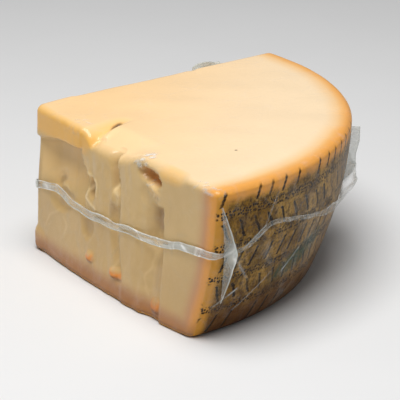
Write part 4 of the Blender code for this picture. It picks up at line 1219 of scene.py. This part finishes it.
def bridged(outline, low, high):
    """Surface height under the band for each column, with hollows bridged as taut film does."""
    points, normals, _ = outline.at(HEIGHT / 2)
    most = np.full(outline.columns, -1.0)
    for share in np.linspace(0, 1, 9):
        z = low - 1 * MM + (high - low + 2 * MM) * share
        most = np.maximum(most, outline.relief(points, normals, z))
    return spanned(most, BAND_SPAN)


class CHEESE_OT_band(bpy.types.Operator):
    """Builds the welded band of film that runs round the wedge"""

    bl_idname = "cheese.band"
    bl_label = "Welded band"

    def execute(self, context):
        sizes = context.scene.cheese_sizes
        outline = Outline(FINE)
        _, _, way = outline.at(HEIGHT / 2)
        low = course(way)
        on_rind = ease(way, WHEEL_RADIUS, WHEEL_RADIUS + BAND_TURN)
        on_rind = on_rind * (1 - ease(way, WHEEL_RADIUS + ARC - BAND_TURN, WHEEL_RADIUS + ARC))
        free = loose(way)
        width = BAND_WIDTH + (BAND_WIDTH_RIND - BAND_WIDTH) * on_rind
        width = width + (BAND_WIDTH_LOOSE - BAND_WIDTH_RIND) * free
        width = width * (1 + 0.14 * soft_noise(way, way * 0, 11 * MM, 31))
        low = low + 0.5 * MM * soft_noise(way, way * 0, 9 * MM, 33)
        lean = BAND_LEAN * free
        base = bridged(outline, low, low + width) + SKIN_GAP + 0.25 * MM
        inner, outer, folds = [], [], []
        for step in range(BAND_ACROSS):
            share = step / (BAND_ACROSS - 1)
            streak = soft_noise(way / 4, way * 0 + share * 7 * MM, 2.2 * MM, 34)
            rise = 0.16 * MM * streak + 0.15 * MM * math.sin(math.pi * share)
            for grid, thick in ((inner, 0), (outer, sizes.band_thickness)):
                z = low + share * width * np.cos(lean) - thick * np.sin(lean)
                out = base + share * width * np.sin(lean) + thick * np.cos(lean) + rise
                points, normals, _ = outline.at(z)
                grid.append(np.column_stack([points + normals * out[:, None], z]))
            # Whiter along both edges of the band: painted highlight
            edge = max(0.0, 1 - 6 * share) + 0.7 * max(0.0, 1 - 6 * (1 - share))
            wide = 0.25 * ease(way, 140 * MM, 160 * MM) * (1 - on_rind)
            shown = 1 - 0.72 * on_rind * (1 - 0.5 * free)
            folds.append(np.clip(0.26 + wide + 0.7 * edge + 0.35 * streak, 0, 1) * shown)
        rings = inner + outer[::-1]
        points = np.concatenate(rings)
        columns, faces = outline.columns, []
        for row in range(len(rings)):
            here, there = row * columns, (row + 1) % len(rings) * columns
            for column in range(columns):
                after = (column + 1) % columns
                faces.append((here + column, there + column, there + after, here + after)[::-1])
        finish = film_finish("welded_film", context.scene.cheese_look, 0.05, 0.72, 70.0)
        thing = make_object("film_band", points, faces, finish)
        paint(thing, "fold", np.concatenate(folds + folds[::-1]))
        finish_piece(thing, "film_seam")
        return {"FINISHED"}


def on_arc(angle, z, out):
    flat = unit(angle) * (rind_radius(z) + out)
    return np.array([flat[0], flat[1], z])


class CHEESE_OT_flaps(bpy.types.Operator):
    """Builds the folded flap of film at each rind corner"""

    bl_idname = "cheese.flaps"
    bl_label = "Corner flaps"

    def execute(self, context):
        finish = film_finish("folded_film", context.scene.cheese_look, 0.16, 0.84, 70.0)
        thickness = context.scene.cheese_sizes.flap_thickness
        for name, side in (("film_flap_front", -1), ("film_flap_back", 1)):
            thing = self.flap(name, side, finish, thickness)
            finish_piece(thing, "film_seam")
        return {"FINISHED"}

    def flap(self, name, side, finish, thickness):
        rows, across = FLAP_ROWS, FLAP_ACROSS
        inner = np.empty((rows + 1, across + 1, 3))
        outer, fold = np.empty_like(inner), np.empty((rows + 1, across + 1))
        for row in range(rows + 1):
            z = FLAP_FOOT[1] + (FLAP_TOP[1] - FLAP_FOOT[1]) * row / rows
            inside = np.interp(z, (FLAP_FOOT[1], FLAP_TOP[1]), (FLAP_FOOT[0], FLAP_TOP[0]))
            heights = (FLAP_FOOT[1], FLAP_TIP[1], FLAP_TOP[1])
            edge = np.interp(z, heights, (FLAP_FOOT[0], FLAP_TIP[0], FLAP_TOP[0])) + 0.6 * MM
            reach = (edge - inside) / FLAP_WIDTH
            for step in range(across + 1):
                share = step / across
                run = inside + (edge - inside) * share
                ripple = 0.25 * MM * float(soft_noise(run, z, 3 * MM, 41))
                lift = FILM_GAP + FLAP_LIFT * reach * float(ease(share, 0, 1.2)) + ripple
                angle = side * (HALF_ANGLE - run / WHEEL_RADIUS)
                inner[row, step] = on_arc(angle, z, lift)
                outer[row, step] = on_arc(angle, z, lift + thickness)
                knot = math.exp(-(((z - FLAP_TIP[1]) / (7 * MM)) ** 2))
                fold[row, step] = min(1.0, 0.9 * float(ease(share, 0.82, 0.97)) + 0.8 * knot * share)
        if side > 0:
            inner, outer, fold = inner[:, ::-1], outer[:, ::-1], fold[:, ::-1]
        points, faces = slab(inner, outer)
        thing = make_object(name, points, faces, finish)
        paint(thing, "fold", np.concatenate([fold.ravel(), fold.ravel()]))
        return thing


class CHEESE_OT_fin(bpy.types.Operator):
    """Builds the fin of film that stands out behind the arc"""

    bl_idname = "cheese.fin"
    bl_label = "Film fin"

    def execute(self, context):
        angle = -HALF_ANGLE + 2 * HALF_ANGLE * FIN_PLACE
        across = unit(angle + math.pi / 2)
        heights = np.linspace(FIN_OUTLINE[0][1], FIN_OUTLINE[-1][1], FIN_ROWS)
        reaches = np.interp(heights, [p[1] for p in FIN_OUTLINE], [p[0] for p in FIN_OUTLINE])
        steps, thickness = FIN_ACROSS, context.scene.cheese_sizes.fin_thickness
        grids, fold = [], np.empty((len(heights), steps + 1))
        for side in (-0.5, 0.5):
            grid = np.empty((len(heights), steps + 1, 3))
            for row, (z, reach) in enumerate(zip(heights, reaches)):
                for step in range(steps + 1):
                    share = step / steps
                    out = SKIN_GAP + 0.1 * MM + reach * share
                    point = on_arc(angle, z, out)
                    wave = FIN_WAVE * math.sin(z / (9 * MM)) * share
                    wave += 0.5 * MM * float(soft_noise(z, out, 4 * MM, 51)) * share
                    point[:2] += across * (side * thickness + wave)
                    grid[row, step] = point
                    fold[row, step] = 0.35 + 0.55 * float(ease(share, 0.85, 1.0))
            grids.append(grid)
        points, faces = slab(grids[0], grids[1])
        finish = film_finish("fin_film", context.scene.cheese_look, 0.26, 0.30, 130.0)
        thing = make_object("film_fin", points, faces, finish)
        paint(thing, "fold", np.concatenate([fold.ravel(), fold.ravel()]))
        finish_piece(thing, "film_seam")
        return {"FINISHED"}


class CHEESE_OT_tab(bpy.types.Operator):
    """Builds the small fold of film on the back edge of the top"""

    bl_idname = "cheese.tab"
    bl_label = "Film tab"

    def execute(self, context):
        steps, levels = TAB_STEPS, TAB_LEVELS
        thickness = context.scene.cheese_sizes.tab_thickness
        inner = np.empty((steps + 1, levels + 1, 3))
        outer, fold = np.empty_like(inner), np.empty((steps + 1, levels + 1))
        for step in range(steps + 1):
            share = step / steps
            s = TAB_START + (TAB_END - TAB_START) * share
            relief = back_relief(np.array([s]), np.array([HEIGHT - 2 * MM]))[0]
            height = TAB_HEIGHT * (0.55 + 0.45 * math.sin(math.pi * min(1.0, share / 0.84)))
            for level in range(levels + 1):
                rise = height * level / levels
                ripple = 0.4 * MM * math.sin(share * 9) * level / levels * 2
                out = relief + FILM_GAP + 0.5 * MM + rise * 0.15 + ripple
                up = HEIGHT - 3 * MM + rise
                for grid, thick in ((inner, 0), (outer, thickness)):
                    flat = s * BACK_ALONG + BACK_OUT * (out + thick)
                    grid[step, level] = (flat[0], flat[1], up)
                fold[step, level] = 0.3 + 0.5 * level / levels
        points, faces = slab(inner, outer)
        finish = film_finish("tab_film", context.scene.cheese_look, 0.35, 0.4, 150.0)
        thing = make_object("film_tab_fold", points, faces, finish)
        paint(thing, "fold", np.concatenate([fold.ravel(), fold.ravel()]))
        finish_piece(thing, "film_tab")
        return {"FINISHED"}


class CHEESE_OT_stage(bpy.types.Operator):
    """Builds the floor, the light and the camera"""

    bl_idname = "cheese.stage"
    bl_label = "Stage"

    def execute(self, context):
        stage = context.scene.cheese_stage
        half = stage.floor_size / 2
        corners = [(-half, -half, 0), (half, -half, 0), (half, half, 0), (-half, half, 0)]
        mesh = bpy.data.meshes.new("floor")
        mesh.from_pydata([(x, y, z - 0.05 * MM) for x, y, z in corners], [], [(0, 1, 2, 3)])
        mesh.materials.append(plain_finish("pale_floor", (0.78, 0.78, 0.78), 0.8))
        floor = bpy.data.objects.new("floor", mesh)
        context.scene.collection.objects.link(floor)
        self.light(context, "key", (-0.1, -0.3, 1.45), 1.1, stage.key_power)
        self.light(context, "fill", (0.9, -1.6, 0.9), 1.4, stage.fill_power)
        world = bpy.data.worlds.new("studio")
        world.use_nodes = True
        world.node_tree.nodes["Background"].inputs[0].default_value = (1, 1, 1, 1)
        world.node_tree.nodes["Background"].inputs[1].default_value = stage.sky
        context.scene.world = world
        context.scene.view_settings.view_transform = "Standard"
        self.camera(context, stage.lens)
        return {"FINISHED"}

    def light(self, context, name, place, size, power):
        lamp = bpy.data.lights.new(name, "AREA")
        lamp.shape = "DISK"
        lamp.size = size
        lamp.energy = power
        thing = bpy.data.objects.new(name, lamp)
        thing.location = place
        towards = Vector((0, 0, 0.04)) - Vector(place)
        thing.rotation_euler = towards.to_track_quat("-Z", "Y").to_euler()
        context.scene.collection.objects.link(thing)

    def camera(self, context, lens):
        az, el, roll = CAMERA_AZIMUTH, CAMERA_ELEVATION, CAMERA_ROLL
        back = Vector((math.sin(az) * math.cos(el), -math.cos(az) * math.cos(el), math.sin(el)))
        level = (-back).cross(Vector((0, 0, 1))).normalized()
        upright = level.cross(-back)
        right = level * math.cos(roll) + upright * math.sin(roll)
        up = upright * math.cos(roll) - level * math.sin(roll)
        target = Vector(CAMERA_TARGET)
        eye = target + back * CAMERA_DISTANCE
        aim = target + right * AIM_RIGHT + up * AIM_UP
        depth = (eye - aim).normalized()
        right = (right - depth * right.dot(depth)).normalized()
        turned = Matrix((right, depth.cross(right), depth)).transposed()
        camera = bpy.data.cameras.new("camera")
        camera.lens = lens
        thing = bpy.data.objects.new("camera", camera)
        thing.matrix_world = Matrix.Translation(eye) @ turned.to_4x4()
        context.scene.collection.objects.link(thing)
        context.scene.camera = thing


class CHEESE_PT_panel(bpy.types.Panel):
    """Lists the steps that build the chunk"""

    bl_idname = "CHEESE_PT_panel"
    bl_label = "Cheese chunk"
    bl_space_type = "VIEW_3D"
    bl_region_type = "UI"
    bl_category = "Cheese"

    def draw(self, context):
        for step in STEPS:
            self.layout.operator(step.bl_idname)
        scene = context.scene
        for group in (scene.cheese_look, scene.cheese_sizes, scene.cheese_stage):
            for name in group.__annotations__:
                self.layout.prop(group, name)


STEPS = (
    CHEESE_OT_stage,
    CHEESE_OT_chunk,
    CHEESE_OT_skin,
    CHEESE_OT_band,
    CHEESE_OT_flaps,
    CHEESE_OT_fin,
    CHEESE_OT_tab,
)
CLASSES = (CheeseLook, CheeseSizes, CheeseStage, *STEPS, CHEESE_PT_panel)


def register():
    for kind in CLASSES:
        bpy.utils.register_class(kind)
    bpy.types.Scene.cheese_look = PointerProperty(type=CheeseLook)
    bpy.types.Scene.cheese_sizes = PointerProperty(type=CheeseSizes)
    bpy.types.Scene.cheese_stage = PointerProperty(type=CheeseStage)


def unregister():
    del bpy.types.Scene.cheese_stage
    del bpy.types.Scene.cheese_sizes
    del bpy.types.Scene.cheese_look
    for kind in reversed(CLASSES):
        bpy.utils.unregister_class(kind)


def main():
    register()
    bpy.ops.cheese.stage()
    bpy.ops.cheese.chunk()
    bpy.ops.cheese.skin()
    bpy.ops.cheese.band()
    bpy.ops.cheese.flaps()
    bpy.ops.cheese.fin()
    bpy.ops.cheese.tab()


if __name__ == "__main__":
    main()
